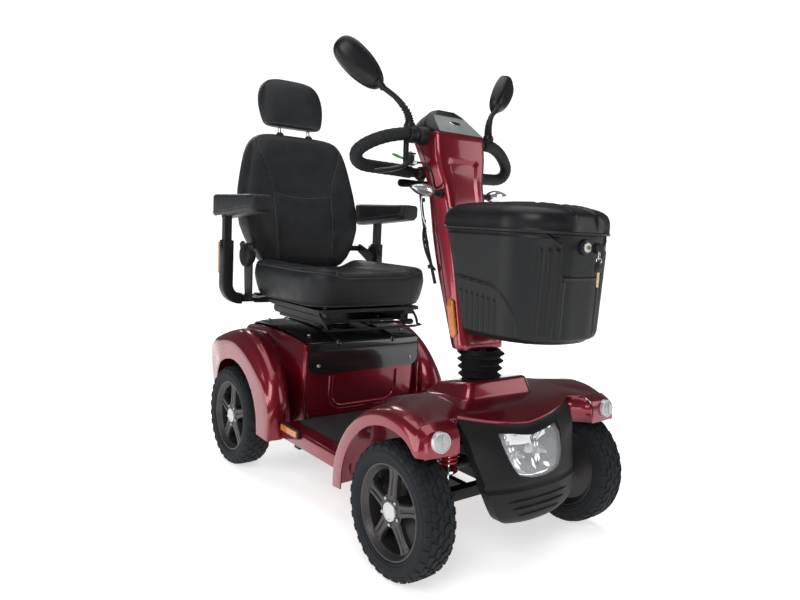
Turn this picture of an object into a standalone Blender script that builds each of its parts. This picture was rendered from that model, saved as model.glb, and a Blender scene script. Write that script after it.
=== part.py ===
"""Four-wheel mobility scooter: tilting tiller, swivel seat, sprung front axle and a lockable front box.

Frame: metres, +Z up, front of the scooter towards -Y, the rider's left towards +X, ground at z = 0.
Shapes are written in the chassis datum, whose y = 0 is the front axle line. The empty "datum"
carries every piece, so that the origin lies under the middle of the overall box.
"""
import math

import bmesh
import bpy
from mathutils import Matrix, Vector

# ------------------------------------------------------------------ driving dimensions (metres)
GAP = 0.0005                     # clearance between pieces that meet
MIDDLE_Y = 0.5110                # middle of the overall length, behind the front axle
SIDES = (("left", 1), ("right", -1))

WHEEL_RADIUS = 0.165
WHEELBASE = 0.931
TRACK_HALF = 0.305               # middle of the tyre
TYRE_HALF = 0.045
RIM_RADIUS = 0.116
WHEEL_STEPS = 36
AXLE_Z = WHEEL_RADIUS
STUB_RADIUS = 0.010

KINGPIN_X = 0.250
STEER_ARM = 0.070                # from each kingpin back to the tie rod's joint, and from the column
SUSPENSION_Y = 0.170             # front axle's pivot line
SHOCK_X = 0.190
SHOCK_Y = -0.032
SHOCK_EYE_Z = 0.178
SPRING_LOW_Z = 0.252
SPRING_TOP_Z = 0.330

RAIL_X = 0.090
RAIL_LOW_Z = 0.112
RAIL_TOP_Z = 0.140
UPPER_RAIL_Z = 0.270
FLOOR_TOP_Z = 0.207
SHELL = 0.005                    # thickness of the body panels

COLUMN_Y = 0.080
TILT_Z = 0.465                   # tiller's tilt pivot
MIRROR_JOINT = (0.205, 0.296, 1.192)      # ball joint between a mirror's stem and its head
MIRROR_TOE = math.radians(25)             # each head is turned this far towards the rider
MIRROR_RISE = math.radians(42)            # and its long axis climbs this steeply
PLINTH_TOP_Z = 0.434

SEAT_POST_Y = 0.820
SEAT_POST_RADIUS = 0.028
SEAT_X = 0.234                   # half width of the cushion
RECLINE_Y = 1.010
RECLINE_Z = 0.700
ARM_X = 0.310                    # middle of the armrest post
ARM_Y = 1.065
ARM_Z = 0.545
ARM_PIVOT_Z = 0.845
ARM_HALF = 0.0125
BACK_LEAN = math.radians(14)

BOX_LOW_Z = 0.578
BOX_SPLIT_Z = 0.835
BOX_TOP_Z = 0.907

CONSOLE_NORMAL = Vector((0.0, 0.850, 0.526)).normalized()

FINISHES = {
    "paint": ((0.22, 0.010, 0.030), 0.22, 0.55),
    "black_plastic": ((0.020, 0.020, 0.022), 0.50, 0.0),
    "gloss_black": ((0.012, 0.012, 0.013), 0.25, 0.0),
    "grey_plastic": ((0.24, 0.25, 0.24), 0.40, 0.3),
    "vinyl": ((0.022, 0.023, 0.025), 0.55, 0.0),
    "foam": ((0.020, 0.021, 0.024), 0.70, 0.0),
    "rubber": ((0.022, 0.023, 0.026), 0.80, 0.0),
    "rim": ((0.045, 0.047, 0.052), 0.42, 0.6),
    "frame": ((0.018, 0.018, 0.020), 0.45, 0.3),
    "chrome": ((0.75, 0.75, 0.76), 0.12, 1.0),
    "spring_red": ((0.45, 0.02, 0.02), 0.35, 0.2),
    "lens": ((0.80, 0.82, 0.85), 0.08, 0.0),
    "cast": ((0.30, 0.30, 0.31), 0.45, 0.9),
    "battery": ((0.10, 0.11, 0.12), 0.55, 0.0),
}


# ------------------------------------------------------------------ shape tools
def clear_scene():
    for old in list(bpy.data.objects):
        bpy.data.objects.remove(old)


def make_materials():
    made = {}
    for name, (colour, roughness, metallic) in FINISHES.items():
        material = bpy.data.materials.new(name)
        material.use_nodes = True
        shader = material.node_tree.nodes["Principled BSDF"]
        shader.inputs["Base Color"].default_value = (*colour, 1.0)
        shader.inputs["Roughness"].default_value = roughness
        shader.inputs["Metallic"].default_value = metallic
        material.diffuse_color = (*colour, 1.0)
        made[name] = material
    return made


def solid(bm):
    """Turn a closed bmesh into an object whose faces point out."""
    bmesh.ops.recalc_face_normals(bm, faces=bm.faces)
    mesh = bpy.data.meshes.new("shape")
    bm.to_mesh(mesh)
    bm.free()
    shape = bpy.data.objects.new("shape", mesh)
    bpy.context.collection.objects.link(shape)
    return shape


def loft(rings, ring_closed=False):
    """Skin rings of equal length, with end caps, or closed on itself like a torus."""
    bm = bmesh.new()
    loops = [[bm.verts.new(point) for point in ring] for ring in rings]
    count = len(loops[0])
    pairs = list(zip(loops, loops[1:]))
    if ring_closed:
        pairs.append((loops[-1], loops[0]))
    for near, far in pairs:
        for i in range(count):
            j = (i + 1) % count
            bm.faces.new((near[i], near[j], far[j], far[i]))
    if not ring_closed:
        bm.faces.new(loops[0])
        bm.faces.new(loops[-1])
    return solid(bm)


def prism(outline, axis, low, high):
    """Extrude an outline of two coordinates along the third axis, from low to high."""
    def lift(u, v, w):
        return {"x": (w, u, v), "y": (u, w, v), "z": (u, v, w)}[axis]
    return loft([[lift(u, v, w) for u, v in outline] for w in (low, high)])


def block(low, high):
    outline = [(low[0], low[1]), (high[0], low[1]), (high[0], high[1]), (low[0], high[1])]
    return prism(outline, "z", low[2], high[2])


def box(middle, size):
    low = [m - s / 2 for m, s in zip(middle, size)]
    high = [m + s / 2 for m, s in zip(middle, size)]
    return block(low, high)


def cross_axes(axis):
    axis = Vector(axis).normalized()
    helper = Vector((0, 0, 1)) if abs(axis.z) < 0.9 else Vector((0, 1, 0))
    first = helper.cross(axis).normalized()
    return axis, first, axis.cross(first)


def circle_ring(centre, axis, radius, steps, phase=0.5):
    axis, first, second = cross_axes(axis)
    turn = 2 * math.pi / steps
    return [Vector(centre) + radius * (math.cos((i + phase) * turn) * first
                                       + math.sin((i + phase) * turn) * second)
            for i in range(steps)]


def spindle(base, axis, profile, steps=16):
    """Solid of revolution with flat ends; the profile lists (distance along the axis, radius)."""
    direction = Vector(axis).normalized()
    return loft([circle_ring(Vector(base) + along * direction, axis, radius, steps)
                 for along, radius in profile])


def rod(start, end, radius, steps=12):
    length = (Vector(end) - Vector(start)).length
    return spindle(start, Vector(end) - Vector(start), [(0, radius), (length, radius)], steps)


def hoop(base, axis, profile, steps):
    """Ring of revolution; the profile is a closed outline of (distance along, radius)."""
    direction, first, second = cross_axes(axis)
    turn = 2 * math.pi / steps
    rings = []
    for i in range(steps):
        out = math.cos((i + 0.5) * turn) * first + math.sin((i + 0.5) * turn) * second
        rings.append([Vector(base) + along * direction + radius * out for along, radius in profile])
    return loft(rings, ring_closed=True)


def curve_through(points, per_span=3):
    """Catmull-Rom curve through the route's own points."""
    route = [Vector(p) for p in points]
    route = [2 * route[0] - route[1]] + route + [2 * route[-1] - route[-2]]
    made = []
    for a, b, c, d in zip(route, route[1:], route[2:], route[3:]):
        for i in range(per_span):
            t = i / per_span
            made.append(0.5 * (2 * b + (c - a) * t + (2 * a - 5 * b + 4 * c - d) * t * t
                               + (3 * b - a - 3 * c + d) * t ** 3))
    made.append(route[-2])
    return made


def sweep(path, radius, steps=10, phase=0.5):
    """Round tube along a path, square to it everywhere. Four steps give a square bar."""
    path = [Vector(p) for p in path]
    radii = radius if isinstance(radius, list) else [radius] * len(path)
    tangents = [(b - a).normalized() for a, b in zip(path, path[1:])]
    inner = [(a + b).normalized() for a, b in zip(tangents, tangents[1:])]
    tangents = [tangents[0]] + inner + [tangents[-1]]
    _, first, _ = cross_axes(tangents[0])
    rings = []
    for point, tangent, size in zip(path, tangents, radii):
        first = (first - first.dot(tangent) * tangent).normalized()
        second = tangent.cross(first)
        rings.append([point + size * (math.cos((i + phase) * 2 * math.pi / steps) * first
                                      + math.sin((i + phase) * 2 * math.pi / steps) * second)
                      for i in range(steps)])
    return loft(rings)


def rounded_outline(u_low, u_high, v_low, v_high, low_radius, high_radius, steps=4):
    """Rectangle whose two low-v corners and two high-v corners have their own radii."""
    corners = [(u_high - low_radius, v_low + low_radius, low_radius, -90),
               (u_high - high_radius, v_high - high_radius, high_radius, 0),
               (u_low + high_radius, v_high - high_radius, high_radius, 90),
               (u_low + low_radius, v_low + low_radius, low_radius, 180)]
    outline = []
    for u, v, radius, start in corners:
        for i in range(steps + 1):
            angle = math.radians(start + 90 * i / steps)
            outline.append((u + radius * math.cos(angle), v + radius * math.sin(angle)))
    return outline


def level(outline, z):
    return [(x, y, z) for x, y in outline]


def arc(centre, radius, start, end, steps):
    """Points of an arc, in degrees."""
    return [(centre[0] + radius * math.cos(math.radians(start + (end - start) * i / steps)),
             centre[1] + radius * math.sin(math.radians(start + (end - start) * i / steps)))
            for i in range(steps + 1)]


def combine(target, tool, operation):
    modifier = target.modifiers.new("combine", "BOOLEAN")
    modifier.operation = operation
    modifier.solver = "EXACT"
    modifier.object = tool
    graph = bpy.context.evaluated_depsgraph_get()
    target.data = bpy.data.meshes.new_from_object(target.evaluated_get(graph))
    target.modifiers.clear()
    bpy.data.objects.remove(tool)
    return target


def weld(first, *others):
    for other in others:
        first = combine(first, other, "UNION")
    return first


def cut(first, *tools):
    for tool in tools:
        first = combine(first, tool, "DIFFERENCE")
    return first


def place(name, shape, finish, pivot=(0, 0, 0), smooth=35):
    """Name a finished shape, give it its material and put its origin on its joint's axis."""
    shape.name = name
    shape.data.name = name
    shape.data.materials.clear()
    shape.data.materials.append(MATERIALS[finish])
    shape.data.shade_smooth()
    shape.data.set_sharp_from_angle(angle=math.radians(smooth))
    shape.data.transform(Matrix.Translation(-Vector(pivot)))
    shape.location = pivot
    shape.parent = DATUM
    return shape


# ------------------------------------------------------------------ wheels
def make_wheel(end, y):
    for side_name, side in SIDES:
        centre = (side * TRACK_HALF, y, AXLE_Z)
        axis = (side, 0, 0)
        flat_radius = WHEEL_RADIUS / math.cos(math.pi / WHEEL_STEPS)
        tread = [(-0.036, RIM_RADIUS + GAP), (-TYRE_HALF, 0.130), (-TYRE_HALF + 0.002, 0.148),
                 (-0.028, flat_radius), (0.028, flat_radius), (TYRE_HALF - 0.002, 0.148),
                 (TYRE_HALF, 0.130), (0.036, RIM_RADIUS + GAP)]
        tyre = hoop(centre, axis, tread, WHEEL_STEPS)
        place(f"tyre_{end}_{side_name}", tyre, "rubber", centre)

        barrel = [(-0.034, 0.098), (-0.034, RIM_RADIUS), (0.034, RIM_RADIUS), (0.034, 0.106),
                  (0.026, 0.098)]
        rim = hoop(centre, axis, barrel, WHEEL_STEPS)
        hub = spindle(centre, axis, [(-0.016, 0.026), (0.018, 0.030), (0.034, 0.022)], 20)
        rim = weld(rim, hub, *[make_spoke(centre, side, i) for i in range(5)])
        bore = rod((side * 0.280, y, AXLE_Z), (side * (TRACK_HALF + 0.002), y, AXLE_Z),
                   STUB_RADIUS + GAP, 16)
        rim = cut(rim, bore)
        place(f"rim_{end}_{side_name}", rim, "rim", centre)


def make_spoke(centre, side, index):
    """One of five flat spokes, wider at the barrel than at the hub."""
    spoke = prism([(0.018, -0.014), (0.102, -0.011), (0.102, 0.011), (0.018, 0.014)], "x", 0.010, 0.026)
    spoke.data.transform(Matrix.Rotation(math.radians(90 + 72 * index), 4, "X"))
    spoke.data.transform(Matrix.Scale(side, 4, (1, 0, 0)))
    spoke.data.transform(Matrix.Translation(centre))
    if side < 0:
        spoke.data.flip_normals()
    return spoke


# ------------------------------------------------------------------ chassis and drive
def make_chassis():
    frame = block((-0.104, 1.010, RAIL_LOW_Z), (0.104, 1.034, RAIL_TOP_Z))
    parts = []
    for _, side in SIDES:
        x = side * RAIL_X
        parts.append(box((x, 0.590, (RAIL_LOW_Z + RAIL_TOP_Z) / 2),
                         (0.028, 0.872, RAIL_TOP_Z - RAIL_LOW_Z)))
        parts.append(box((x, 0.214, 0.205), (0.026, 0.026, 0.150)))
        parts.append(box((x, 0.0665, UPPER_RAIL_Z), (0.024, 0.321, 0.024)))
        parts.append(box((side * 0.107, SUSPENSION_Y, 0.126), (0.022, 0.040, 0.027)))
        parts.append(box((side * 0.1145, SUSPENSION_Y, 0.152), (0.007, 0.036, 0.078)))
        parts.append(box((x, SHOCK_Y, 0.306), (0.020, 0.026, 0.070)))
        parts.append(box((side * 0.145, SHOCK_Y, 0.336), (0.130, 0.030, 0.010)))
        parts.append(box((x, 0.750, 0.167), (0.024, 0.180, 0.058)))
    for y in (0.300, 0.590):
        parts.append(box((0, y, 0.160), (0.540, 0.030, 0.049)))
    parts.append(box((0, -0.083, UPPER_RAIL_Z), (0.190, 0.022, 0.022)))
    parts.append(box((0, COLUMN_Y, UPPER_RAIL_Z), (0.170, 0.050, 0.022)))
    parts.append(box((0, 0.752, 0.1995), (0.412, 0.206, 0.009)))
    parts.append(box((0, SEAT_POST_Y, 0.1375), (0.160, 0.080, 0.009)))
    parts.append(rod((0, SEAT_POST_Y, 0.134), (0, SEAT_POST_Y, 0.440), SEAT_POST_RADIUS + 0.004, 20))
    parts.append(rod((0, COLUMN_Y, 0.256), (0, COLUMN_Y, 0.396), 0.030, 20))
    parts.append(rod((-0.117, SUSPENSION_Y, AXLE_Z), (0.117, SUSPENSION_Y, AXLE_Z), 0.008, 12))
    frame = weld(frame, *parts)
    frame = cut(frame,
                rod((0, SEAT_POST_Y, 0.160), (0, SEAT_POST_Y, 0.460), SEAT_POST_RADIUS + GAP, 20),
                rod((0, COLUMN_Y, 0.230), (0, COLUMN_Y, 0.420), 0.022 + GAP, 20))
    place("chassis_frame", frame, "frame")


def make_batteries():
    for side_name, side in SIDES:
        case = box((side * 0.122, 0.752, 0.285), (0.164, 0.190, 0.160))
        post = box((side * 0.165, 0.700, 0.370), (0.016, 0.012, 0.014))
        place(f"battery_{side_name}", weld(case, post), "battery")


def make_transaxle():
    y = WHEELBASE
    tube = spindle((-0.300, y, AXLE_Z), (1, 0, 0),
                   [(0, STUB_RADIUS), (0.032, STUB_RADIUS), (0.033, 0.022), (0.040, 0.022), (0.041, 0.019),
                    (0.559, 0.019), (0.560, 0.022), (0.567, 0.022), (0.568, STUB_RADIUS),
                    (0.600, STUB_RADIUS)], 16)
    gears = spindle((-0.035, y, AXLE_Z), (1, 0, 0),
                    [(0, 0.045), (0.012, 0.060), (0.058, 0.060), (0.070, 0.045)], 20)
    motor = spindle((-0.190, y + 0.060, 0.215), (1, 0, 0), [(0, 0.036), (0.008, 0.042), (0.190, 0.042)], 20)
    feet = [box((side * RAIL_X, y, 0.1475), (0.024, 0.050, 0.013)) for _, side in SIDES]
    place("transaxle", weld(tube, gears, motor, *feet), "cast")


# ------------------------------------------------------------------ front suspension and steering
def make_front_axle():
    beam = box((0, 0, AXLE_Z), (0.410, 0.028, 0.028))
    parts = []
    for _, side in SIDES:
        parts.append(box((side * 0.212, 0, AXLE_Z), (0.020, 0.028, 0.080)))
        for z in (0.125, 0.195):
            ear = prism([(side * x, y) for x, y in [(0.205, -0.014)]
                         + arc((KINGPIN_X, 0), 0.014, -90, 90, 8)
                         + [(0.205, 0.014)]], "z", z, z + 0.010)
            parts.append(ear)
        parts.append(box((side * RAIL_X, 0.088, AXLE_Z), (0.020, 0.160, 0.024)))
        for offset in (-0.0125, 0.0125):
            parts.append(box((side * SHOCK_X + offset, -0.028, 0.173), (0.004, 0.034, 0.034)))
    parts.append(rod((-0.108, SUSPENSION_Y, AXLE_Z), (0.108, SUSPENSION_Y, AXLE_Z), 0.0155, 16))
    beam = weld(beam, *parts)
    bore = rod((-0.2, SUSPENSION_Y, AXLE_Z), (0.2, SUSPENSION_Y, AXLE_Z), 0.0085, 12)
    place("front_axle", cut(beam, bore), "frame", (0, SUSPENSION_Y, AXLE_Z))


def make_knuckles():
    for side_name, side in SIDES:
        barrel = rod((side * KINGPIN_X, 0, 0.1355), (side * KINGPIN_X, 0, 0.1945), 0.013, 16)
        stub = spindle((side * 0.245, 0, AXLE_Z), (side, 0, 0),
                       [(0, 0.012), (0.017, 0.012), (0.018, 0.020), (0.023, 0.020), (0.024, STUB_RADIUS),
                        (0.055, STUB_RADIUS)], 16)
        tip = Vector((side * KINGPIN_X, STEER_ARM, 0.1415))
        arm = rod((side * KINGPIN_X, 0, 0.1415), tip, 0.0055, 8)
        eye = spindle(tip - Vector((0, 0, 0.0045)), (0, 0, 1), [(0, 0.009), (0.010, 0.009)], 12)
        knuckle = weld(barrel, stub, arm, eye)
        if side > 0:
            upper = tip + Vector((0, 0, 0.048))
            knuckle = weld(knuckle, rod((side * KINGPIN_X, 0, upper.z), upper, 0.0045, 8),
                           spindle(upper - Vector((0, 0, 0.005)), (0, 0, 1),
                                    [(0, 0.008), (0.010, 0.008)], 12))
        place(f"knuckle_{side_name}", knuckle, "cast", (side * KINGPIN_X, 0, AXLE_Z))


def make_tie_rod():
    """Lies under both steering arms and joins them, so the front wheels steer together."""
    x = KINGPIN_X
    y = STEER_ARM
    bar = rod((-x, y, 0.1305), (x, y, 0.1305), 0.0050, 10)
    eyes = [spindle((side * x, y, 0.1255), (0, 0, 1), [(0, 0.008), (0.011 - GAP, 0.008)], 12)
            for _, side in SIDES]
    place("tie_rod", weld(bar, *eyes), "cast", (x, y, 0.1305))


def make_drag_link():
    """Joins the column's arm to the left knuckle's upper arm, parallel to itself as both turn."""
    start = Vector((0, COLUMN_Y + STEER_ARM, 0.212))
    end = Vector((KINGPIN_X, STEER_ARM, 0.1895))
    along = (end - start).normalized()
    bar = rod(start, end - 0.013 * along, 0.0045, 10)
    eye = spindle(start - Vector((0, 0, 0.006)), (0, 0, 1), [(0, 0.008), (0.012, 0.008)], 12)
    place("drag_link", weld(bar, eye), "cast", start)


def make_shocks():
    for side_name, side in SIDES:
        x = side * SHOCK_X
        eye = rod((x - 0.009, SHOCK_Y, SHOCK_EYE_Z), (x + 0.009, SHOCK_Y, SHOCK_EYE_Z), 0.009, 12)
        shaft = spindle((x, SHOCK_Y, SHOCK_EYE_Z), (0, 0, 1), [(0, 0.006), (0.134, 0.006)], 12)
        seat = spindle((x, SHOCK_Y, 0.238), (0, 0, 1), [(0, 0.014), (0.008, 0.024), (0.0135, 0.024)], 16)
        place(f"front_rod_{side_name}", weld(eye, shaft, seat), "chrome", (x, SHOCK_Y, SHOCK_EYE_Z))

        turns, steps, coil, wire = 5, 10, 0.0185, 0.0032
        height = SPRING_TOP_Z - SPRING_LOW_Z - 2 * wire - 2 * GAP
        path = []
        for i in range(turns * steps + 1):
            angle = 2 * math.pi * i / steps
            path.append((x + coil * math.cos(angle), SHOCK_Y + coil * math.sin(angle),
                         SPRING_LOW_Z + wire + GAP + height * i / (turns * steps)))
        place(f"front_spring_{side_name}", sweep(path, wire, 5), "spring_red", (x, SHOCK_Y, SPRING_TOP_Z))


def make_column():
    shaft = rod((0, COLUMN_Y, 0.200), (0, COLUMN_Y, 0.436), 0.022, 20)
    arm = prism([(0.016, COLUMN_Y)] + arc((0, COLUMN_Y + STEER_ARM), 0.010, 0, 180, 6)
                + [(-0.016, COLUMN_Y)],
                "z", 0.200, 0.205)
    head = rod((0, COLUMN_Y, 0.4005), (0, COLUMN_Y, 0.4285), 0.034, 20)
    ears = [prism([(COLUMN_Y - 0.016, 0.425)] + [(COLUMN_Y + u, TILT_Z + v)
                                                for u, v in arc((0, 0), 0.016, 180, 0, 8)]
                  + [(COLUMN_Y + 0.016, 0.425)], "x", side * 0.019 - 0.004, side * 0.019 + 0.004)
            for _, side in SIDES]
    pin = rod((-0.022, COLUMN_Y, TILT_Z), (0.022, COLUMN_Y, TILT_Z), 0.006, 12)
    place("steering_column", weld(shaft, arm, head, *ears, pin), "frame", (0, COLUMN_Y, TILT_Z))


def make_bellows():
    """Rubber boot round the tilt pivot: five folds between the plinth and the tiller."""
    low, high, folds = PLINTH_TOP_Z + GAP, 0.5145, 5
    profile = [(low, 0.058)]
    for i in range(folds):
        crest = low + (high - low) * (i + 0.5) / folds
        valley = low + (high - low) * (i + 1) / folds
        swell = 0.066 + 0.008 * i / (folds - 1)
        profile.append((crest, swell))
        profile.append((valley, 0.060 + 0.006 * (i + 1) / folds))
    profile += [(high, 0.050), (low, 0.046)]
    boot = hoop((0, COLUMN_Y, 0), (0, 0, 1), profile, 20)
    place("column_bellows", boot, "rubber", (0, COLUMN_Y, TILT_Z))


# ------------------------------------------------------------------ body panels
def make_floor():
    slab = block((-0.300, 0.2465, 0.1855), (0.300, 0.622, FLOOR_TOP_Z))
    skirts = [box((side * 0.2925, 0.434, 0.176), (0.015, 0.375, 0.024)) for _, side in SIDES]
    place("floor_shell", weld(slab, *skirts), "paint")
    mat = prism(rounded_outline(-0.250, 0.250, 0.262, 0.612, 0.020, 0.020), "z", FLOOR_TOP_Z + GAP, 0.214)
    place("floor_mat", mat, "rubber")


def front_profile(inset):
    """Side outline of the front fairing, from behind the wheel over the top to the tip."""
    reach = 0.245 - inset
    top = 0.411 - inset
    return [(reach, 0.151 - 4 * inset), (reach, 0.250), (reach - 0.020, 0.315), (0.185 - inset, 0.358),
            (0.135, 0.388 - inset), (0.070, top - 0.008), (0.005, top), (-0.060, top - 0.008),
            (-0.128 + inset, 0.392 - inset), (-0.128 + inset, 0.336 - 4 * inset)]


def make_front_shroud():
    outer = prism(front_profile(0) + [(-0.100, 0.330), (0.030, 0.200), (0.190, 0.151)], "x", -0.345, 0.345)
    inner = prism(front_profile(SHELL) + [(-0.110, 0.100), (0.190, 0.100)], "x", -0.339, 0.339)
    arch = prism(arc((0.030, 0.167), 0.195, -12, 192, 20) + [(-0.165, 0.05), (0.221, 0.05)], "x", -0.4, 0.4)
    shroud = cut(outer, inner, arch)
    low, high = PLINTH_TOP_Z - 0.045, PLINTH_TOP_Z
    plinth = loft([level(rounded_outline(-0.118, 0.118, -0.012, 0.150, 0.02, 0.02, 2), low),
                   level(rounded_outline(-0.100, 0.100, 0.004, 0.138, 0.02, 0.02, 2), high)])
    hollow = block((-0.090, 0.014, low - 0.02), (0.090, 0.130, high - SHELL))
    neck = rod((0, COLUMN_Y, 0.35), (0, COLUMN_Y, 0.45), 0.044, 24)
    nose = prism([(-0.199, -0.2), (-0.199, -0.062), (0, -0.121), (0.199, -0.062), (0.199, -0.2)], "z",
                 0.2, 0.5)
    place("front_shroud", cut(weld(shroud, plinth), hollow, neck, nose), "paint")


def bumper_ring(half, side_y, front_y, low_z, rise, inset):
    """C-shaped section of the front panel: an outer arc and, back along it, an inner arc."""
    steps = 10
    ring = []
    for depth in (0.0, inset):
        arc_points = []
        for i in range(steps + 1):
            t = 2 * i / steps - 1
            x = (half - depth * 0.6) * t
            y = side_y + (front_y + depth - side_y) * (1 - abs(t) ** 2.2)
            arc_points.append((x, y, low_z + rise * abs(t)))
        ring += arc_points if depth == 0 else arc_points[::-1]
    return ring


def make_front_bumper():
    rings = [bumper_ring(0.090, -0.045, -0.075, 0.089, 0.010, 0.006),
             bumper_ring(0.115, -0.066, -0.135, 0.115, 0.006, 0.006),
             bumper_ring(0.150, -0.100, -0.152, 0.205, 0.0, 0.006),
             bumper_ring(0.165, -0.090, -0.148, 0.260, 0.0, 0.006),
             bumper_ring(0.196, -0.068, -0.128, 0.352, 0.038, 0.006)]
    panel = loft(rings)
    panel = cut(panel, make_headlight_shape(GAP, -0.2, -0.08))
    place("front_bumper", panel, "black_plastic")
    place("headlight", make_headlight_shape(0, -0.158, -0.100), "lens")


def make_headlight_shape(margin, front, rear):
    """Shield outline: wide top, narrow bottom, as one block from front to rear."""
    half = [(0, 0.322), (0.060, 0.330), (0.104, 0.340), (0.106, 0.318), (0.092, 0.272), (0.070, 0.243),
            (0, 0.232)]
    middle = 0.287
    grown = []
    for x, z in half:
        grown.append((x + (margin if x > 0 else 0), z + math.copysign(margin, z - middle)))
    outline = grown + [(-x, z) for x, z in grown[::-1] if x > 0]
    return prism(outline, "y", front, rear)


def rear_profile(inset):
    """Side outline of the rear fenders, from the sill over the wheel to the tail."""
    return [(0.642 + inset, 0.160 - 4 * inset), (0.636 + inset, 0.240), (0.658 + inset, 0.312 - inset),
            (0.712, 0.380 - inset), (0.780, 0.428 - inset), (0.860, 0.455 - inset), (0.950, 0.455 - inset),
            (1.040, 0.430 - inset), (1.128 - inset, 0.395 - inset), (1.130 - inset, 0.300 - 4 * inset)]


def rear_plan(half, inset):
    return rounded_outline(-half + inset, half - inset, 0.6 + inset, 1.130 - inset, 0.03, 0.15 - inset, 5)


def make_rear_shroud():
    floor = [(0.940, 0.300), (0.800, 0.160)]
    outer = combine(prism(rear_profile(0) + floor, "x", -0.345, 0.345),
                    prism(rear_plan(0.345, 0), "z", 0.1, 0.5), "INTERSECT")
    tower = [(0.630, 0.190), (0.642, 0.452), (1.060, 0.462), (1.100, 0.420), (1.112, 0.300), (0.900, 0.190)]
    outer = weld(outer, prism(tower, "x", -0.222, 0.222))
    inner = combine(prism(rear_profile(SHELL) + [(1.0, 0.10), (0.8, 0.10)], "x", -0.340, 0.340),
                    prism(rear_plan(0.345, SHELL), "z", 0.0, 0.6), "INTERSECT")
    room = [(0.636, 0.100), (0.647, 0.446), (1.057, 0.456), (1.094, 0.416), (1.106, 0.100)]
    wells = prism(arc((0.935, 0.165), 0.196, 0, 150, 18)
                  + [(0.709, 0.190), (0.706, 0.05), (1.2, 0.05), (1.2, 0.165)],
                  "x", -0.4, 0.4)
    keep = block((-0.216, 0.5, 0.0), (0.216, 1.2, 0.6))
    shroud = cut(outer, inner, prism(room, "x", -0.216, 0.216), cut(wells, keep))
    lid_notch = block((-0.2125, 0.600, 0.3475), (0.2125, 0.760, 0.600))
    lid_top = block((-0.2125, 0.700, 0.440), (0.2125, 1.046, 0.600))
    place("rear_shroud", cut(shroud, lid_notch, lid_top), "paint")


def make_battery_cover():
    outside = [(0.6310, 0.3480), (0.6360, 0.430), (0.660, 0.456), (0.900, 0.474), (1.020, 0.474),
               (1.0455, 0.452),
               (1.0455, 0.441)]
    inside = [(1.0405, 0.441), (1.0405, 0.450), (1.017, 0.469), (0.900, 0.469), (0.662, 0.4515),
              (0.641, 0.428),
              (0.6360, 0.3480)]
    cover = prism(outside + inside, "x", -0.212, 0.212)
    hole = rod((0, SEAT_POST_Y, 0.4), (0, SEAT_POST_Y, 0.5), 0.036, 20)
    place("battery_cover", cut(cover, hole), "gloss_black")


# ------------------------------------------------------------------ tiller
TILLER_SECTIONS = [(0.515, 0.076, 0.064, 0.124), (0.600, 0.074, 0.086, 0.158), (0.700, 0.072, 0.110, 0.200),
                   (0.800, 0.070, 0.136, 0.236), (0.900, 0.069, 0.162, 0.258), (0.950, 0.074, 0.180, 0.268),
                   (0.985, 0.088, 0.190, 0.276), (1.030, 0.091, 0.197, 0.296), (1.088, 0.088, 0.206, 0.335)]


def tiller_loft(inset, first=0, last=None):
    rings = []
    for z, half, front, rear in TILLER_SECTIONS[first:last]:
        outline = rounded_outline(-half + inset, half - inset, front + inset, rear - inset, 0.016, 0.016, 2)
        rings.append(level(outline, z))
    return rings


def make_tiller_shroud():
    shroud = loft(tiller_loft(0))
    rings = tiller_loft(SHELL)
    rings[0] = [(x, y, z - 0.01) for x, y, z in rings[0]]
    rings[-1] = [(x, y, z + 0.01) for x, y, z in rings[-1]]
    hollow = loft(rings)
    crossbar = rod((-0.2, 0.256, 1.077), (0.2, 0.256, 1.077), 0.0175, 16)
    place("tiller_shroud", cut(shroud, hollow, crossbar), "paint", (0, COLUMN_Y, TILT_Z))


def make_tiller_tube():
    """Steel core of the tiller: a tongue on the tilt pin and a tube up to the handlebar."""
    tongue = prism([(COLUMN_Y + u, TILT_Z + v) for u, v in arc((0, 0), 0.014, 180, 360, 8)]
                   + [(COLUMN_Y + 0.026, 0.540), (COLUMN_Y - 0.002, 0.540)], "x", -0.0145, 0.0145)
    foot = Vector((0, COLUMN_Y + 0.012, 0.528))
    top = Vector((0, 0.2300, 1.050))
    tube = rod(foot, top, 0.017, 16)
    hole = rod((-0.1, COLUMN_Y, TILT_Z), (0.1, COLUMN_Y, TILT_Z), 0.006 + GAP, 12)
    place("tiller_tube", cut(weld(tube, tongue), hole), "frame", (0, COLUMN_Y, TILT_Z))


def make_pod():
    low = 1.088 + GAP
    rings = [level(rounded_outline(-0.088, 0.088, 0.206, 0.335, 0.016, 0.016, 2), low),
             level(rounded_outline(-0.064, 0.064, 0.236, 0.300, 0.020, 0.010, 2), 1.145),
             level(rounded_outline(-0.044, 0.044, 0.254, 0.286, 0.014, 0.010, 2), 1.159)]
    crossbar = rod((-0.2, 0.256, 1.077), (0.2, 0.256, 1.077), 0.0175, 16)
    place("console_pod", cut(loft(rings), crossbar), "grey_plastic", (0, COLUMN_Y, TILT_Z))


def handlebar_path(side):
    route = [(0.125, 0.256, 1.077), (0.160, 0.259, 1.075), (0.205, 0.274, 1.064), (0.245, 0.292, 1.045),
             (0.2705, 0.306, 1.022), (0.268, 0.314, 1.000), (0.245, 0.316, 0.988), (0.200, 0.312, 0.985),
             (0.150, 0.304, 0.983), (0.101, 0.296, 0.980)]
    return [(side * x, y, z) for x, y, z in route]


def make_handlebar():
    """Two padded loops on a bar that runs through the head of the tiller."""
    route = curve_through(handlebar_path(-1)[::-1], 2) + curve_through(handlebar_path(1), 2)
    radii = [0.0165] * len(route)
    bar = sweep(route, radii, 10)
    place("handlebar", bar, "foam", (0, COLUMN_Y, TILT_Z))


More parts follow.
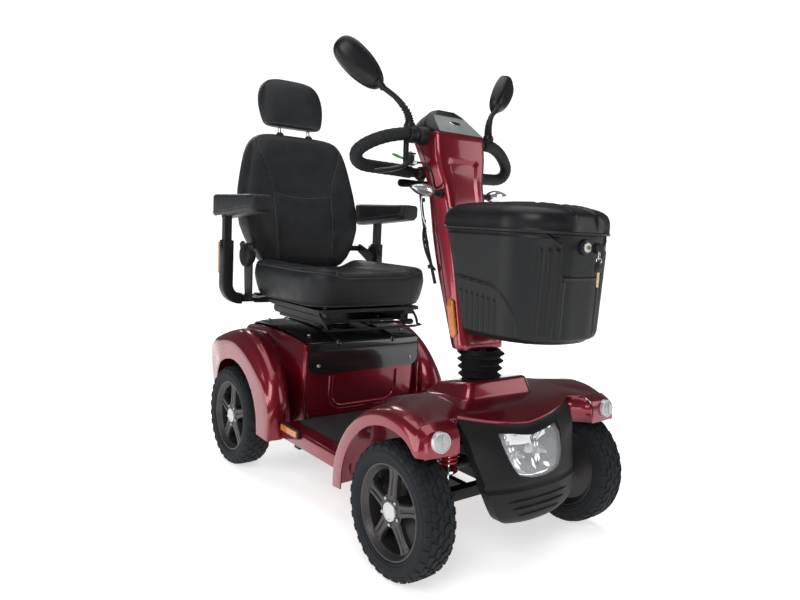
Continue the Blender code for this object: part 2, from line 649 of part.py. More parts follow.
def make_controls():
    lever = loft([[(x, y + dy, z + dz) for dy, dz in ((-0.005, -0.009), (0.005, -0.009), (0.005, 0.009),
                                                      (-0.005, 0.009))]
                  for x, y, z in [(-0.128, 0.302, 0.948), (-0.060, 0.300, 0.952), (0.0, 0.300, 0.953),
                                  (0.060, 0.300, 0.952), (0.128, 0.302, 0.948)]])
    boss = rod((0, 0.2735, 0.953), (0, 0.300, 0.953), 0.008, 12)
    place("throttle_lever", weld(lever, boss), "black_plastic", (0, 0.300, 0.953))

    blade = sweep(curve_through([(-0.140, 0.250, 1.010), (-0.165, 0.248, 0.990), (-0.200, 0.252, 0.978),
                                 (-0.238, 0.262, 0.972)], 2),
                                 [0.007, 0.008, 0.009, 0.009, 0.009, 0.008, 0.006], 6)
    eye = spindle((-0.140, 0.250, 1.000), (0, 0, 1), [(0, 0.011), (0.020, 0.011)], 12)
    place("brake_lever", weld(blade, eye), "black_plastic", (-0.140, 0.250, 1.000))

    face = Vector((0, 0.3175, 1.117))
    knob = spindle(face + 0.001 * CONSOLE_NORMAL, CONSOLE_NORMAL,
                   [(0, 0.016), (0.010, 0.015), (0.014, 0.012)], 16)
    place("speed_knob", knob, "black_plastic", face)
    key_base = face + Vector((-0.045, 0, 0))
    barrel = spindle(key_base + 0.001 * CONSOLE_NORMAL, CONSOLE_NORMAL, [(0, 0.008), (0.004, 0.008)], 12)
    grip = rod(key_base + 0.003 * CONSOLE_NORMAL, key_base + 0.024 * CONSOLE_NORMAL, 0.004, 8)
    place("ignition_key", weld(barrel, grip), "chrome", key_base)
    button_base = face + Vector((0.045, 0, 0)) + 0.003 * CONSOLE_NORMAL
    button = spindle(button_base, CONSOLE_NORMAL, [(0, 0.007), (0.004, 0.007)], 12)
    place("horn_button", button, "black_plastic", button_base)


def make_brake_cable():
    """Held cable: from the brake's cable stop, in a short bow, down into the tiller."""
    route = [(-0.137, 0.215, 1.000), (-0.130, 0.196, 0.994), (-0.118, 0.186, 0.980), (-0.104, 0.190, 0.962),
             (-0.091, 0.202, 0.946), (-0.0765, 0.214, 0.938)]
    curve = bpy.data.curves.new("brake_cable", "CURVE")
    curve.dimensions = "3D"
    curve.bevel_depth = 0.0025
    curve.bevel_resolution = 2
    curve.use_fill_caps = True
    points = curve_through(route, 3)
    spline = curve.splines.new("POLY")
    spline.points.add(len(points) - 1)
    for slot, point in zip(spline.points, points):
        slot.co = (*point, 1.0)
    cable = bpy.data.objects.new("brake_cable", curve)
    bpy.context.collection.objects.link(cable)
    curve.materials.append(MATERIALS["rubber"])
    cable.parent = DATUM


def make_indicators():
    for side_name, side in SIDES:
        base = (side * 0.0735, 0.196, 0.923)
        lamp = spindle(base, (side, 0, 0.08),
                       [(0, 0.010), (0.010, 0.008), (0.024, 0.009), (0.040, 0.017), (0.062, 0.018),
                        (0.085, 0.011),
                        (0.102, 0.004)], 12)
        place(f"indicator_{side_name}", lamp, "lens", (0, COLUMN_Y, TILT_Z))


def make_mirrors():
    for side_name, side in SIDES:
        route = [(0.143, 0.256, 1.0960), (0.144, 0.258, 1.115), (0.151, 0.265, 1.138), (0.173, 0.280, 1.168),
                 MIRROR_JOINT]
        path = curve_through([(side * x, y, z) for x, y, z in route], 2)
        radii = [0.012, 0.011, 0.010, 0.008, 0.0075, 0.007, 0.007, 0.0075, 0.008]
        stem = sweep(path, radii, 10)
        place(f"mirror_stem_{side_name}", stem, "black_plastic", (side * 0.143, 0.256, 1.096))

        joint = Vector((side * MIRROR_JOINT[0], *MIRROR_JOINT[1:]))
        flat = Vector((side * math.cos(MIRROR_TOE), math.sin(MIRROR_TOE), 0))
        back = Vector((-side * math.sin(MIRROR_TOE), math.cos(MIRROR_TOE), 0))
        along = flat * math.cos(MIRROR_RISE) + Vector((0, 0, math.sin(MIRROR_RISE)))
        across = Vector((0, 0, math.cos(MIRROR_RISE))) - flat * math.sin(MIRROR_RISE)
        centre = joint + 0.086 * along + 0.010 * back
        rings = []
        for depth, scale in ((-0.024, 0.40), (-0.018, 0.74), (-0.008, 0.95), (0.004, 1.0), (0.011, 0.97)):
            ring = []
            for i in range(20):
                angle = 2 * math.pi * i / 20
                u = 0.081 * math.copysign(abs(math.cos(angle)) ** 0.85, math.cos(angle))
                v = (0.041 + 0.004 * math.cos(angle)) * math.copysign(abs(math.sin(angle)) ** 0.85,
                                                                      math.sin(angle))
                ring.append(centre + scale * (u * along + v * across) + depth * back)
            rings.append(ring)
        place(f"mirror_head_{side_name}", loft(rings), "gloss_black", joint)


# ------------------------------------------------------------------ front box
def box_outline(half, front, rear, inset, steps=6):
    return rounded_outline(-half + inset, half - inset, front + inset, rear - inset, 0.125 - inset,
                           0.026 - inset / 2,
                           steps)


def make_box():
    outer = [level(box_outline(0.148, -0.243, 0.004, 0.012), BOX_LOW_Z),
             level(box_outline(0.149, -0.244, 0.006, 0.0), BOX_LOW_Z + 0.014),
             level(box_outline(0.160, -0.250, 0.072, 0.0), BOX_SPLIT_Z)]
    inner = [level(box_outline(0.149, -0.244, 0.006, 0.020), BOX_LOW_Z + 0.005),
             level(box_outline(0.149, -0.244, 0.006, 0.006), BOX_LOW_Z + 0.018),
             level(box_outline(0.160, -0.250, 0.072, 0.005), BOX_SPLIT_Z + 0.001)]
    body = cut(loft(outer), loft(inner))
    for z, front, rear in ((0.640, 0.012, 0.0925), (0.780, 0.050, 0.1275)):
        body = weld(body, *[box((x, (front + rear) / 2, z),
                                (0.024, rear - front, 0.020)) for x in (-0.035, 0.035)])
    place("box_body", body, "black_plastic", (0, COLUMN_Y, TILT_Z))

    low = BOX_SPLIT_Z + GAP
    lid_out = [level(box_outline(0.166, -0.256, 0.080, 0.0), low),
               level(box_outline(0.166, -0.256, 0.080, 0.003), 0.866),
               level(box_outline(0.166, -0.256, 0.080, 0.022), 0.893),
               level(box_outline(0.166, -0.256, 0.080, 0.024), 0.896)]
    crown = [(x * 0.62, -0.094 + (y + 0.094) * 0.62, BOX_TOP_Z) for x, y, _ in lid_out[0]]
    lid_in = [[(x * 0.97, -0.088 + (y + 0.088) * 0.97, z - 0.004) for x, y, z in ring]
              for ring in lid_out[:3]]
    lid = cut(loft(lid_out + [crown]), loft(lid_in))
    place("box_lid", lid, "black_plastic", (0, 0.078, 0.838))

    lock = spindle((0, -0.2500, 0.806), (0, -1, 0), [(0, 0.011), (0.006, 0.011), (0.010, 0.009)], 14)
    place("box_lock", lock, "chrome", (0, -0.2500, 0.806))


# ------------------------------------------------------------------ seat
def make_seat_base():
    post = rod((0, SEAT_POST_Y, 0.180), (0, SEAT_POST_Y, 0.486), SEAT_POST_RADIUS, 20)
    place("seat_post", post, "frame", (0, SEAT_POST_Y, 0.180))

    disc = rod((0, SEAT_POST_Y, 0.486 + GAP), (0, SEAT_POST_Y, 0.499), 0.070, 24)
    plate = prism(rounded_outline(-0.166, 0.166, 0.700, 0.960, 0.02, 0.02, 2), "z", 0.498, 0.506)
    rails = [box((side * 0.150, 0.8125, 0.518), (0.026, 0.345, 0.025)) for _, side in SIDES]
    place("seat_swivel", weld(plate, disc, *rails), "frame", (0, SEAT_POST_Y, 0.486))

    lever = sweep([(0.050, 0.715, 0.4905), (0.190, 0.700, 0.4905), (0.228, 0.692, 0.4905)],
                  [0.005, 0.005, 0.007], 8)
    eye = rod((0.050, 0.715, 0.4860), (0.050, 0.715, 0.4975 - GAP), 0.009, 12)
    place("seat_lever", weld(lever, eye), "frame", (0.050, 0.715, 0.490))


def make_seat_frame():
    top = 0.5305
    tray = prism(rounded_outline(-0.200, 0.200, 0.612, 1.000, 0.02, 0.02, 2), "z", 0.545, 0.5555)
    parts = [box((side * 0.150, 0.810, 0.5385), (0.036, 0.390, 0.015)) for _, side in SIDES]
    parts.append(block((-0.2565, 0.975, 0.545), (0.2565, 1.030, 0.5555)))
    for _, side in SIDES:
        x = sorted((side * 0.2525, side * 0.2565))
        parts.append(prism([(0.975, 0.546), (1.030, 0.546)]
                           + arc((RECLINE_Y, RECLINE_Z), 0.034, 0, 180, 10), "x", *x))
        parts.append(rod((side * 0.2525, RECLINE_Y, RECLINE_Z), (side * 0.266, RECLINE_Y, RECLINE_Z),
                         0.037, 24))
    parts.append(box((0, ARM_Y, ARM_Z), (0.400, 0.033, 0.033)))
    parts.append(box((0, 1.040, 0.550), (0.300, 0.025, 0.011)))
    frame = weld(tray, *parts)
    frame = cut(frame, box((0, ARM_Y, ARM_Z), (0.500, 0.027, 0.027)))
    place("seat_frame", frame, "frame", (0, SEAT_POST_Y, top))


def make_cushion():
    def ring(z, inset):
        return level(rounded_outline(-SEAT_X + inset, SEAT_X - inset, 0.590 + inset, 1.034 - inset, 0.06,
                                     0.05, 3), z)
    rings = [ring(0.5600, 0.020), ring(0.578, 0.004), ring(0.620, 0.0), ring(0.665, 0.004),
             ring(0.690, 0.030)]
    place("seat_cushion", loft(rings), "vinyl")


def make_backrest():
    """Padded shell with the two flat arms that carry it on the recline pivots."""
    rings = []
    for z, half, front, rear in ((0.672, 0.150, 1.076, 1.136), (0.690, 0.175, 1.072, 1.146),
                                 (0.760, 0.222, 1.078, 1.166),
                                 (0.900, 0.233, 1.106, 1.200), (1.000, 0.224, 1.128, 1.218),
                                 (1.090, 0.196, 1.154, 1.226), (1.130, 0.160, 1.168, 1.222),
                                 (1.143, 0.130, 1.178, 1.214)):
        corner = min(0.028, 0.45 * (rear - front))
        rings.append(level(rounded_outline(-half, half, front, rear, corner, corner, 2), z))
    back = loft(rings)
    for _, side in SIDES:
        x = sorted((side * 0.2395, side * 0.2495))
        arm = prism(arc((RECLINE_Y, RECLINE_Z), 0.030, 150, 330, 8)
                    + [(1.150, 0.760), (1.150, 0.800), (1.110, 0.800)],
                    "x", *x)
        bridge = box((side * 0.228, 1.130, 0.780), (0.030, 0.036, 0.030))
        back = weld(back, arm, bridge)
    for _, side in SIDES:
        start, lean = headrest_line(side)
        back = cut(back, rod(start - 0.085 * lean, start + 0.1 * lean, 0.0065, 10))
    place("backrest", back, "vinyl", (0, RECLINE_Y, RECLINE_Z))


def headrest_line(side):
    return Vector((side * 0.060, 1.196, 1.143)), Vector((0, math.sin(BACK_LEAN), math.cos(BACK_LEAN)))


def make_headrest():
    rings = []
    for z, half, front, rear in ((1.174, 0.098, 1.186, 1.240), (1.190, 0.122, 1.182, 1.254),
                                 (1.260, 0.133, 1.196, 1.276),
                                 (1.320, 0.126, 1.212, 1.282), (1.357, 0.092, 1.232, 1.272)):
        rings.append(level(rounded_outline(-half, half, front, rear, 0.018, 0.018, 2), z))
    pad = loft(rings)
    for _, side in SIDES:
        start, lean = headrest_line(side)
        pad = weld(pad, rod(start - 0.075 * lean, start + 0.055 * lean, 0.0055, 10))
    place("headrest", pad, "vinyl", headrest_line(0)[0])


def make_armrests():
    for side_name, side in SIDES:
        x = side * ARM_X
        bend = 0.045
        corner = [(side * (ARM_X - bend + bend * math.sin(a)), ARM_Y, ARM_Z + bend - bend * math.cos(a))
                  for a in [math.radians(18 * i) for i in range(6)]]
        path = [(side * 0.030, ARM_Y, ARM_Z)] + corner + [(x, ARM_Y, 0.856)]
        tube = sweep(path, ARM_HALF * math.sqrt(2), 4)
        place(f"arm_tube_{side_name}", tube, "frame", (0, ARM_Y, ARM_Z))

        inner, outer = side * 0.252, side * 0.331
        low_x, high_x = min(inner, outer), max(inner, outer)
        pad = loft([[(u, y, v) for u, v in rounded_outline(low_x + trim, high_x - trim, low + trim,
                                                           0.905 - trim,
                                                           0.012, 0.016, 2)]
                    for y, low, trim in ((0.800, 0.852, 0.006), (0.808, 0.848, 0.0), (1.145, 0.820, 0.0),
                                         (1.153, 0.822, 0.006))])
        slot = block((x - 0.0145, ARM_Y - 0.021, 0.80), (x + 0.0145, 1.20, 0.866))
        place(f"arm_pad_{side_name}", cut(pad, slot), "black_plastic", (x, ARM_Y, ARM_PIVOT_Z))


# ------------------------------------------------------------------ the whole scooter
clear_scene()
MATERIALS = make_materials()
DATUM = bpy.data.objects.new("datum", None)
DATUM.location = (0, -MIDDLE_Y, 0)
bpy.context.collection.objects.link(DATUM)

make_wheel("front", 0.0)
make_wheel("rear", WHEELBASE)
make_chassis()
make_batteries()
make_transaxle()
make_front_axle()
make_knuckles()
make_tie_rod()
make_drag_link()
make_shocks()
make_column()
make_bellows()
make_floor()
make_front_shroud()
make_front_bumper()
make_rear_shroud()
make_battery_cover()
make_tiller_shroud()
make_tiller_tube()
make_pod()
make_handlebar()
make_controls()
make_brake_cable()
make_indicators()
make_mirrors()
make_box()
make_seat_base()
make_seat_frame()
make_cushion()
make_backrest()
make_headrest()
make_armrests()
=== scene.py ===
"""Looks of the four-wheel mobility scooter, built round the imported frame.

Shapes are written in the chassis datum: metres, front towards -Y, y = 0 at the front axle line,
ground at z = 0. Every mesh is shifted once into the frame's own coordinates by FRONT_Y.
"""
import math

import bmesh
import bpy
from mathutils import Matrix, Vector, noise


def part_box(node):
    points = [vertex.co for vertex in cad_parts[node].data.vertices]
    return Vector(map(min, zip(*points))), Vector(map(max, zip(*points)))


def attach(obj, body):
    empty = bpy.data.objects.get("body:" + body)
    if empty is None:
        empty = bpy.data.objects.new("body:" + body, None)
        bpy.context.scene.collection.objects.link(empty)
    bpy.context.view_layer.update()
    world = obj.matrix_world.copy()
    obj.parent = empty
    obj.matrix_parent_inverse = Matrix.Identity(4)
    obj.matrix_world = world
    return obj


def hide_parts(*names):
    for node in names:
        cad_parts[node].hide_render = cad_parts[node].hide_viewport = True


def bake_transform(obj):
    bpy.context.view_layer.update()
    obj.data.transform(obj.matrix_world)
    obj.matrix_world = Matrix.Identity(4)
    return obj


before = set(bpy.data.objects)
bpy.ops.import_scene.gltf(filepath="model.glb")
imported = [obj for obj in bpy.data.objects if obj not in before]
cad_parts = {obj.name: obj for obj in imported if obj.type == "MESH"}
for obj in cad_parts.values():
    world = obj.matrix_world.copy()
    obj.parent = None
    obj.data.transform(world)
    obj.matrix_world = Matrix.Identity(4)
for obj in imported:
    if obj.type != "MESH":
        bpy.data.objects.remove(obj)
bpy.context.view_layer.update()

AXLE_LOW, AXLE_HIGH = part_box("tyre_front_left")
FRONT_Y = (AXLE_LOW[1] + AXLE_HIGH[1]) / 2
WHEEL_RADIUS = (AXLE_HIGH[2] - AXLE_LOW[2]) / 2
REAR_LOW, REAR_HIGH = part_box("tyre_rear_left")
WHEELBASE = (REAR_LOW[1] + REAR_HIGH[1]) / 2 - FRONT_Y
TRACK_HALF = (AXLE_LOW[0] + AXLE_HIGH[0]) / 2
SIDES = (("left", 1), ("right", -1))
FORWARD = (0, -1, 0)
UP = (0, 0, 1)
COLUMN_Y = 0.080
SEAT_POST_Y = 0.820


# ------------------------------------------------------------------ camera and light
def make_camera():
    """Stands in front and to the rider's right, low, as a product photographer would."""
    yaw, pitch, roll = 0.70396, -0.103856, 0.053778
    ahead = Vector((math.sin(yaw) * math.cos(pitch), math.cos(yaw) * math.cos(pitch), math.sin(pitch)))
    right = ahead.cross(Vector(UP)).normalized()
    up = right.cross(ahead)
    tilted_right = math.cos(roll) * right + math.sin(roll) * up
    tilted_up = -math.sin(roll) * right + math.cos(roll) * up
    data = bpy.data.cameras.new("camera")
    data.sensor_width = 36.0
    data.lens = 30.947
    data.shift_x = -0.0654
    data.shift_y = -0.0036
    camera = bpy.data.objects.new("camera", data)
    turn = Matrix((tilted_right, tilted_up, -ahead)).transposed().to_4x4()
    camera.matrix_world = Matrix.Translation((-1.24931, -1.26069 + FRONT_Y, 0.83995)) @ turn
    bpy.context.collection.objects.link(camera)
    bpy.context.scene.camera = camera


def area_light(name, place, aim, size, power, colour=(1, 1, 1)):
    data = bpy.data.lights.new(name, "AREA")
    data.shape = "RECTANGLE"
    data.size, data.size_y = size
    data.energy = power
    data.color = colour
    light = bpy.data.objects.new(name, data)
    light.location = Vector(place) + Vector((0, FRONT_Y, 0))
    light.rotation_euler = (Vector(aim) - Vector(place)).to_track_quat("-Z", "Y").to_euler()
    bpy.context.collection.objects.link(light)


def make_studio():
    bpy.context.scene.view_settings.view_transform = "Standard"
    world = bpy.data.worlds.new("studio")
    bpy.context.scene.world = world
    world.use_nodes = True
    nodes, links = world.node_tree.nodes, world.node_tree.links
    back = nodes["Background"]
    back.inputs["Color"].default_value = (1.0, 1.0, 1.0, 1.0)
    back.inputs["Strength"].default_value = 1.15
    dim = nodes.new("ShaderNodeBackground")
    dim.inputs["Color"].default_value = (0.82, 0.86, 0.90, 1.0)
    dim.inputs["Strength"].default_value = 0.13
    path = nodes.new("ShaderNodeLightPath")
    mix = nodes.new("ShaderNodeMixShader")
    links.new(path.outputs["Is Camera Ray"], mix.inputs["Fac"])
    links.new(dim.outputs["Background"], mix.inputs[1])
    links.new(back.outputs["Background"], mix.inputs[2])
    links.new(mix.outputs["Shader"], nodes["World Output"].inputs["Surface"])

    area_light("key", (-2.4, -1.6, 2.6), (0, 0.3, 0.5), (1.6, 1.6), 46)
    area_light("top", (0.0, 0.4, 3.2), (0, 0.4, 0), (2.6, 3.0), 44)
    area_light("side", (-3.0, 1.2, 0.9), (0, 0.6, 0.4), (0.9, 1.8), 18)
    area_light("fill", (2.6, -1.8, 1.6), (0, 0.2, 0.5), (1.4, 1.6), 15)
    area_light("back", (0.6, 3.4, 2.2), (0, 0.6, 0.7), (2.0, 1.2), 34)
    area_light("low", (-1.2, -2.8, 0.5), (0, 0, 0.3), (1.4, 0.5), 7)

    bpy.ops.mesh.primitive_plane_add(size=60, location=(0, 0, 0))
    floor = bpy.context.object
    floor.name = "floor"
    paper = new_material("paper")
    shader = paper.node_tree.nodes["Principled BSDF"]
    shader.inputs["Base Color"].default_value = (0.93, 0.93, 0.93, 1)
    shader.inputs["Roughness"].default_value = 0.9
    shader.inputs["Emission Color"].default_value = (1, 1, 1, 1)
    place = paper.node_tree.nodes.new("ShaderNodeTexCoord")
    reach = paper.node_tree.nodes.new("ShaderNodeVectorMath")
    reach.operation = "LENGTH"
    paper.node_tree.links.new(place.outputs["Object"], reach.inputs[0])
    glow = paper.node_tree.nodes.new("ShaderNodeMapRange")
    for socket, value in (("From Min", 1.2), ("From Max", 3.0), ("To Min", 0.62), ("To Max", 1.0)):
        glow.inputs[socket].default_value = value
    paper.node_tree.links.new(reach.outputs["Value"], glow.inputs["Value"])
    paper.node_tree.links.new(glow.outputs["Result"], shader.inputs["Emission Strength"])
    floor.data.materials.append(paper)


# ------------------------------------------------------------------ materials
def new_material(name):
    material = bpy.data.materials.new(name)
    material.use_nodes = True
    return material


def basic(name, colour, roughness, metallic=0.0, coat=0.0, coat_roughness=0.05, specular=0.5):
    material = new_material(name)
    shader = material.node_tree.nodes["Principled BSDF"]
    shader.inputs["Base Color"].default_value = (*colour, 1)
    shader.inputs["Roughness"].default_value = roughness
    shader.inputs["Metallic"].default_value = metallic
    shader.inputs["Coat Weight"].default_value = coat
    shader.inputs["Coat Roughness"].default_value = coat_roughness
    shader.inputs["Specular IOR Level"].default_value = specular
    return material


def texture(material, kind, scale, stretch=(1, 1, 1), **settings):
    """A texture node on object coordinates, in units of 1 / scale metres."""
    nodes, links = material.node_tree.nodes, material.node_tree.links
    where = nodes.new("ShaderNodeTexCoord")
    mapping = nodes.new("ShaderNodeMapping")
    mapping.inputs["Scale"].default_value = stretch
    made = nodes.new(kind)
    made.inputs["Scale"].default_value = scale
    for key, value in settings.items():
        made.inputs[key.replace("_", " ").title()].default_value = value
    links.new(where.outputs["Object"], mapping.inputs["Vector"])
    links.new(mapping.outputs["Vector"], made.inputs["Vector"])
    return made


def bump(material, height, strength, distance, after=None):
    nodes, links = material.node_tree.nodes, material.node_tree.links
    node = nodes.new("ShaderNodeBump")
    node.inputs["Strength"].default_value = strength
    node.inputs["Distance"].default_value = distance
    links.new(height, node.inputs["Height"])
    if after:
        links.new(after.outputs["Normal"], node.inputs["Normal"])
    links.new(node.outputs["Normal"], nodes["Principled BSDF"].inputs["Normal"])
    return node


def ramp(material, value, low, high, stops=(0.3, 0.7)):
    nodes, links = material.node_tree.nodes, material.node_tree.links
    node = nodes.new("ShaderNodeValToRGB")
    node.color_ramp.elements[0].position = stops[0]
    node.color_ramp.elements[1].position = stops[1]
    node.color_ramp.elements[0].color = (*low, 1)
    node.color_ramp.elements[1].color = (*high, 1)
    links.new(value, node.inputs["Fac"])
    return node.outputs["Color"]


def spread(material, value, socket, low, high):
    """Vary a shader's number between low and high."""
    nodes, links = material.node_tree.nodes, material.node_tree.links
    node = nodes.new("ShaderNodeMapRange")
    node.inputs["From Min"].default_value = 0.25
    node.inputs["From Max"].default_value = 0.75
    node.inputs["To Min"].default_value = low
    node.inputs["To Max"].default_value = high
    links.new(value, node.inputs["Value"])
    links.new(node.outputs["Result"], nodes["Principled BSDF"].inputs[socket])


def colour_by(material, value, low, high, stops=(0.3, 0.7)):
    colour = ramp(material, value, low, high, stops)
    material.node_tree.links.new(colour, material.node_tree.nodes["Principled BSDF"].inputs["Base Color"])


def candy_paint():
    """Deep red metallic lacquer: fine flake under a clear coat."""
    material = basic("candy_red", (0.30, 0.008, 0.030), 0.36, 0.72, 1.0, 0.09)
    flake = texture(material, "ShaderNodeTexVoronoi", 900.0)
    colour_by(material, flake.outputs["Distance"], (0.30, 0.007, 0.026), (0.17, 0.003, 0.013), (0.1, 0.8))
    spread(material, flake.outputs["Distance"], "Roughness", 0.26, 0.44)
    ripple = texture(material, "ShaderNodeTexNoise", 260.0, detail=1.0)
    bump(material, ripple.outputs["Fac"], 0.03, 0.0004)
    return material


def moulded(name, colour, roughness, grain=900.0, depth=0.00012, strength=0.35):
    """Moulded plastic with a fine spark-eroded grain."""
    material = basic(name, colour, roughness, specular=0.24)
    pebble = texture(material, "ShaderNodeTexVoronoi", grain)
    cloud = texture(material, "ShaderNodeTexNoise", 14.0, detail=3.0)
    spread(material, cloud.outputs["Fac"], "Roughness", roughness - 0.06, roughness + 0.08)
    light = tuple(min(1.0, c * 1.35) for c in colour)
    colour_by(material, cloud.outputs["Fac"], colour, light)
    bump(material, pebble.outputs["Distance"], strength, depth)
    return material


def vinyl_skin():
    """Upholstery vinyl: pebbled grain with soft creases."""
    material = basic("vinyl", (0.011, 0.012, 0.013), 0.46, specular=0.26)
    crease = texture(material, "ShaderNodeTexNoise", 22.0, detail=3.0, distortion=0.4)
    # the colour follows the crease height: darker down in the creases and lighter on the rises, painted
    # shade in the creases
    colour_by(material, crease.outputs["Fac"], (0.0100, 0.0108, 0.0120), (0.0150, 0.0160, 0.0176))
    spread(material, crease.outputs["Fac"], "Roughness", 0.40, 0.56)
    pebble = texture(material, "ShaderNodeTexVoronoi", 620.0)
    first = bump(material, pebble.outputs["Distance"], 0.35, 0.00025)
    bump(material, crease.outputs["Fac"], 0.10, 0.002, first)
    return material


def tyre_rubber():
    material = basic("tyre_rubber", (0.012, 0.013, 0.016), 0.70, specular=0.22)
    dust = texture(material, "ShaderNodeTexNoise", 30.0, detail=5.0)
    colour_by(material, dust.outputs["Fac"], (0.0085, 0.0098, 0.0125), (0.0185, 0.0205, 0.0245))
    spread(material, dust.outputs["Fac"], "Roughness", 0.62, 0.85)
    fine = texture(material, "ShaderNodeTexNoise", 700.0, detail=2.0)
    bump(material, fine.outputs["Fac"], 0.25, 0.0003)
    return material


def brushed(name, colour, roughness, metallic=1.0, stretch=(1, 1, 12)):
    material = basic(name, colour, roughness, metallic)
    lines = texture(material, "ShaderNodeTexNoise", 180.0, stretch, detail=3.0)
    spread(material, lines.outputs["Fac"], "Roughness", roughness * 0.75, roughness * 1.3)
    bump(material, lines.outputs["Fac"], 0.06, 0.0002)
    return material


def ribbed_mat():
    material = moulded("ribbed_mat", (0.020, 0.021, 0.022), 0.72)
    wave = texture(material, "ShaderNodeTexWave", 34.0)
    wave.bands_direction = "X"
    bump(material, wave.outputs["Fac"], 0.6, 0.0012)
    return material


def prism_lens(name, colour, scale, roughness=0.12):
    """Moulded reflector: small pyramids behind a smooth skin."""
    material = basic(name, colour, roughness, 0.0, 0.8, 0.04)
    cells = texture(material, "ShaderNodeTexVoronoi", scale)
    dark = tuple(c * 0.55 for c in colour)
    colour_by(material, cells.outputs["Distance"], colour, dark, (0.1, 0.6))
    bump(material, cells.outputs["Distance"], 0.5, 0.0008)
    return material


def clear_plastic(name, tint, roughness=0.03, solid_part=0.12):
    """Clear moulded lens; a little of it is opaque, as a real one catches the light."""
    material = basic(name, tint, roughness, specular=0.6)
    shader = material.node_tree.nodes["Principled BSDF"]
    shader.inputs["Alpha"].default_value = solid_part
    shader.inputs["IOR"].default_value = 1.45
    return material


PAINT = candy_paint()
BLACK = moulded("black_moulded", (0.0085, 0.0090, 0.0098), 0.40)
COARSE = moulded("coarse_black", (0.0080, 0.0083, 0.0090), 0.48, 520.0, 0.0004, 0.4)
GLOSS = basic("gloss_black", (0.010, 0.010, 0.011), 0.16, coat=0.6)
SATIN = moulded("satin_black", (0.0080, 0.0082, 0.0090), 0.32, 1400.0, 0.00005, 0.15)
GREY = moulded("metal_grey", (0.20, 0.21, 0.20), 0.36, 1100.0, 0.0001, 0.2)
VINYL = vinyl_skin()
FOAM = moulded("grip_foam", (0.010, 0.011, 0.012), 0.62, 700.0, 0.0003, 0.6)
RUBBER = moulded("soft_rubber", (0.0085, 0.0087, 0.0095), 0.50, 1200.0)
TYRE = tyre_rubber()
RIM = brushed("rim_satin", (0.062, 0.058, 0.057), 0.40, 0.65, (1, 1, 1))
STEEL = brushed("zinc_steel", (0.42, 0.42, 0.43), 0.34)
CHROME = basic("chrome", (0.80, 0.80, 0.82), 0.09, 1.0)
CAP = basic("cap_silver", (0.60, 0.61, 0.62), 0.38, 0.55)
POWDER = moulded("powder_coat", (0.0085, 0.0090, 0.0100), 0.36, 1500.0, 0.0001, 0.25)
CAST = moulded("casting", (0.20, 0.20, 0.21), 0.55, 400.0, 0.0004, 0.5)
SPRING = basic("spring_red", (0.50, 0.012, 0.016), 0.30, 0.2, 0.7)
AMBER = prism_lens("amber", (0.85, 0.24, 0.015), 420.0)
CLEAR = clear_plastic("clear_lens", (0.95, 0.96, 0.98))
FROST = prism_lens("frosted", (0.62, 0.64, 0.66), 520.0, 0.2)
MIRROR = basic("mirror_glass", (0.86, 0.88, 0.90), 0.02, 1.0)
THREAD = moulded("thread", (0.050, 0.052, 0.056), 0.60)
MAT = ribbed_mat()
BATTERY = moulded("battery_case", (0.05, 0.055, 0.06), 0.55)
GREEN = moulded("green_catch", (0.02, 0.22, 0.04), 0.4)
CABLE_WHITE = moulded("cable_white", (0.75, 0.75, 0.74), 0.4)
BRASS = basic("brass", (0.72, 0.52, 0.24), 0.28, 1.0)


# ------------------------------------------------------------------ shape tools
def piece(name, bm, body, material, smooth=38, replaces=(), bevel=0.0, wall=0.0):
    """Turn a bmesh in datum coordinates into a finished piece that rides on a body."""
    bmesh.ops.recalc_face_normals(bm, faces=bm.faces)
    mesh = bpy.data.meshes.new(name)
    bm.to_mesh(mesh)
    bm.free()
    mesh.transform(Matrix.Translation((0, FRONT_Y, 0)))
    mesh.materials.append(material)
    mesh.shade_smooth()
    mesh.set_sharp_from_angle(angle=math.radians(smooth))
    made = bpy.data.objects.new(name, mesh)
    bpy.context.collection.objects.link(made)
    if wall:
        shell = made.modifiers.new("wall", "SOLIDIFY")
        shell.thickness = wall
        shell.offset = -1.0
    if bevel:
        soften(made, bevel)
    if body:
        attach(made, body)
    for node in replaces:
        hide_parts(node)
    return made


def skin(rows, bm=None, closed_rows=False, closed_ends=False, caps=False):
    """Quads between rows of points; rows and ends may close on themselves, and ends may be capped."""
    bm = bm or bmesh.new()
    grid = [[bm.verts.new(point) for point in row] for row in rows]
    count = len(grid[0])
    pairs = list(zip(grid, grid[1:]))
    if closed_ends:
        pairs.append((grid[-1], grid[0]))
    for near, far in pairs:
        for i in range(count if closed_rows else count - 1):
            j = (i + 1) % count
            bm.faces.new((near[i], near[j], far[j], far[i]))
    if caps:
        bm.faces.new(grid[0])
        bm.faces.new(grid[-1])
    return bm


def loft(rings, bm=None):
    """A closed solid through a stack of rings."""
    return skin(rings, bm, closed_rows=True, caps=True)


def cross_axes(axis):
    """The axis as a unit vector, and two more square to it."""
    axis = Vector(axis).normalized()
    helper = Vector(UP) if abs(axis.z) < 0.9 else Vector((0, 1, 0))
    first = helper.cross(axis).normalized()
    return axis, first, axis.cross(first)


def turned(base, axis, profile, steps=48, bm=None, hollow=False):
    """Surface of revolution from (distance along, radius) points; hollow closes the profile."""
    direction, first, second = cross_axes(axis)
    rows = []
    for along, radius in profile:
        rows.append([Vector(base) + along * direction
                     + radius * (math.cos(2 * math.pi * i / steps) * first
                                 + math.sin(2 * math.pi * i / steps) * second) for i in range(steps)])
    return skin(rows, bm, closed_rows=True, closed_ends=hollow, caps=not hollow)


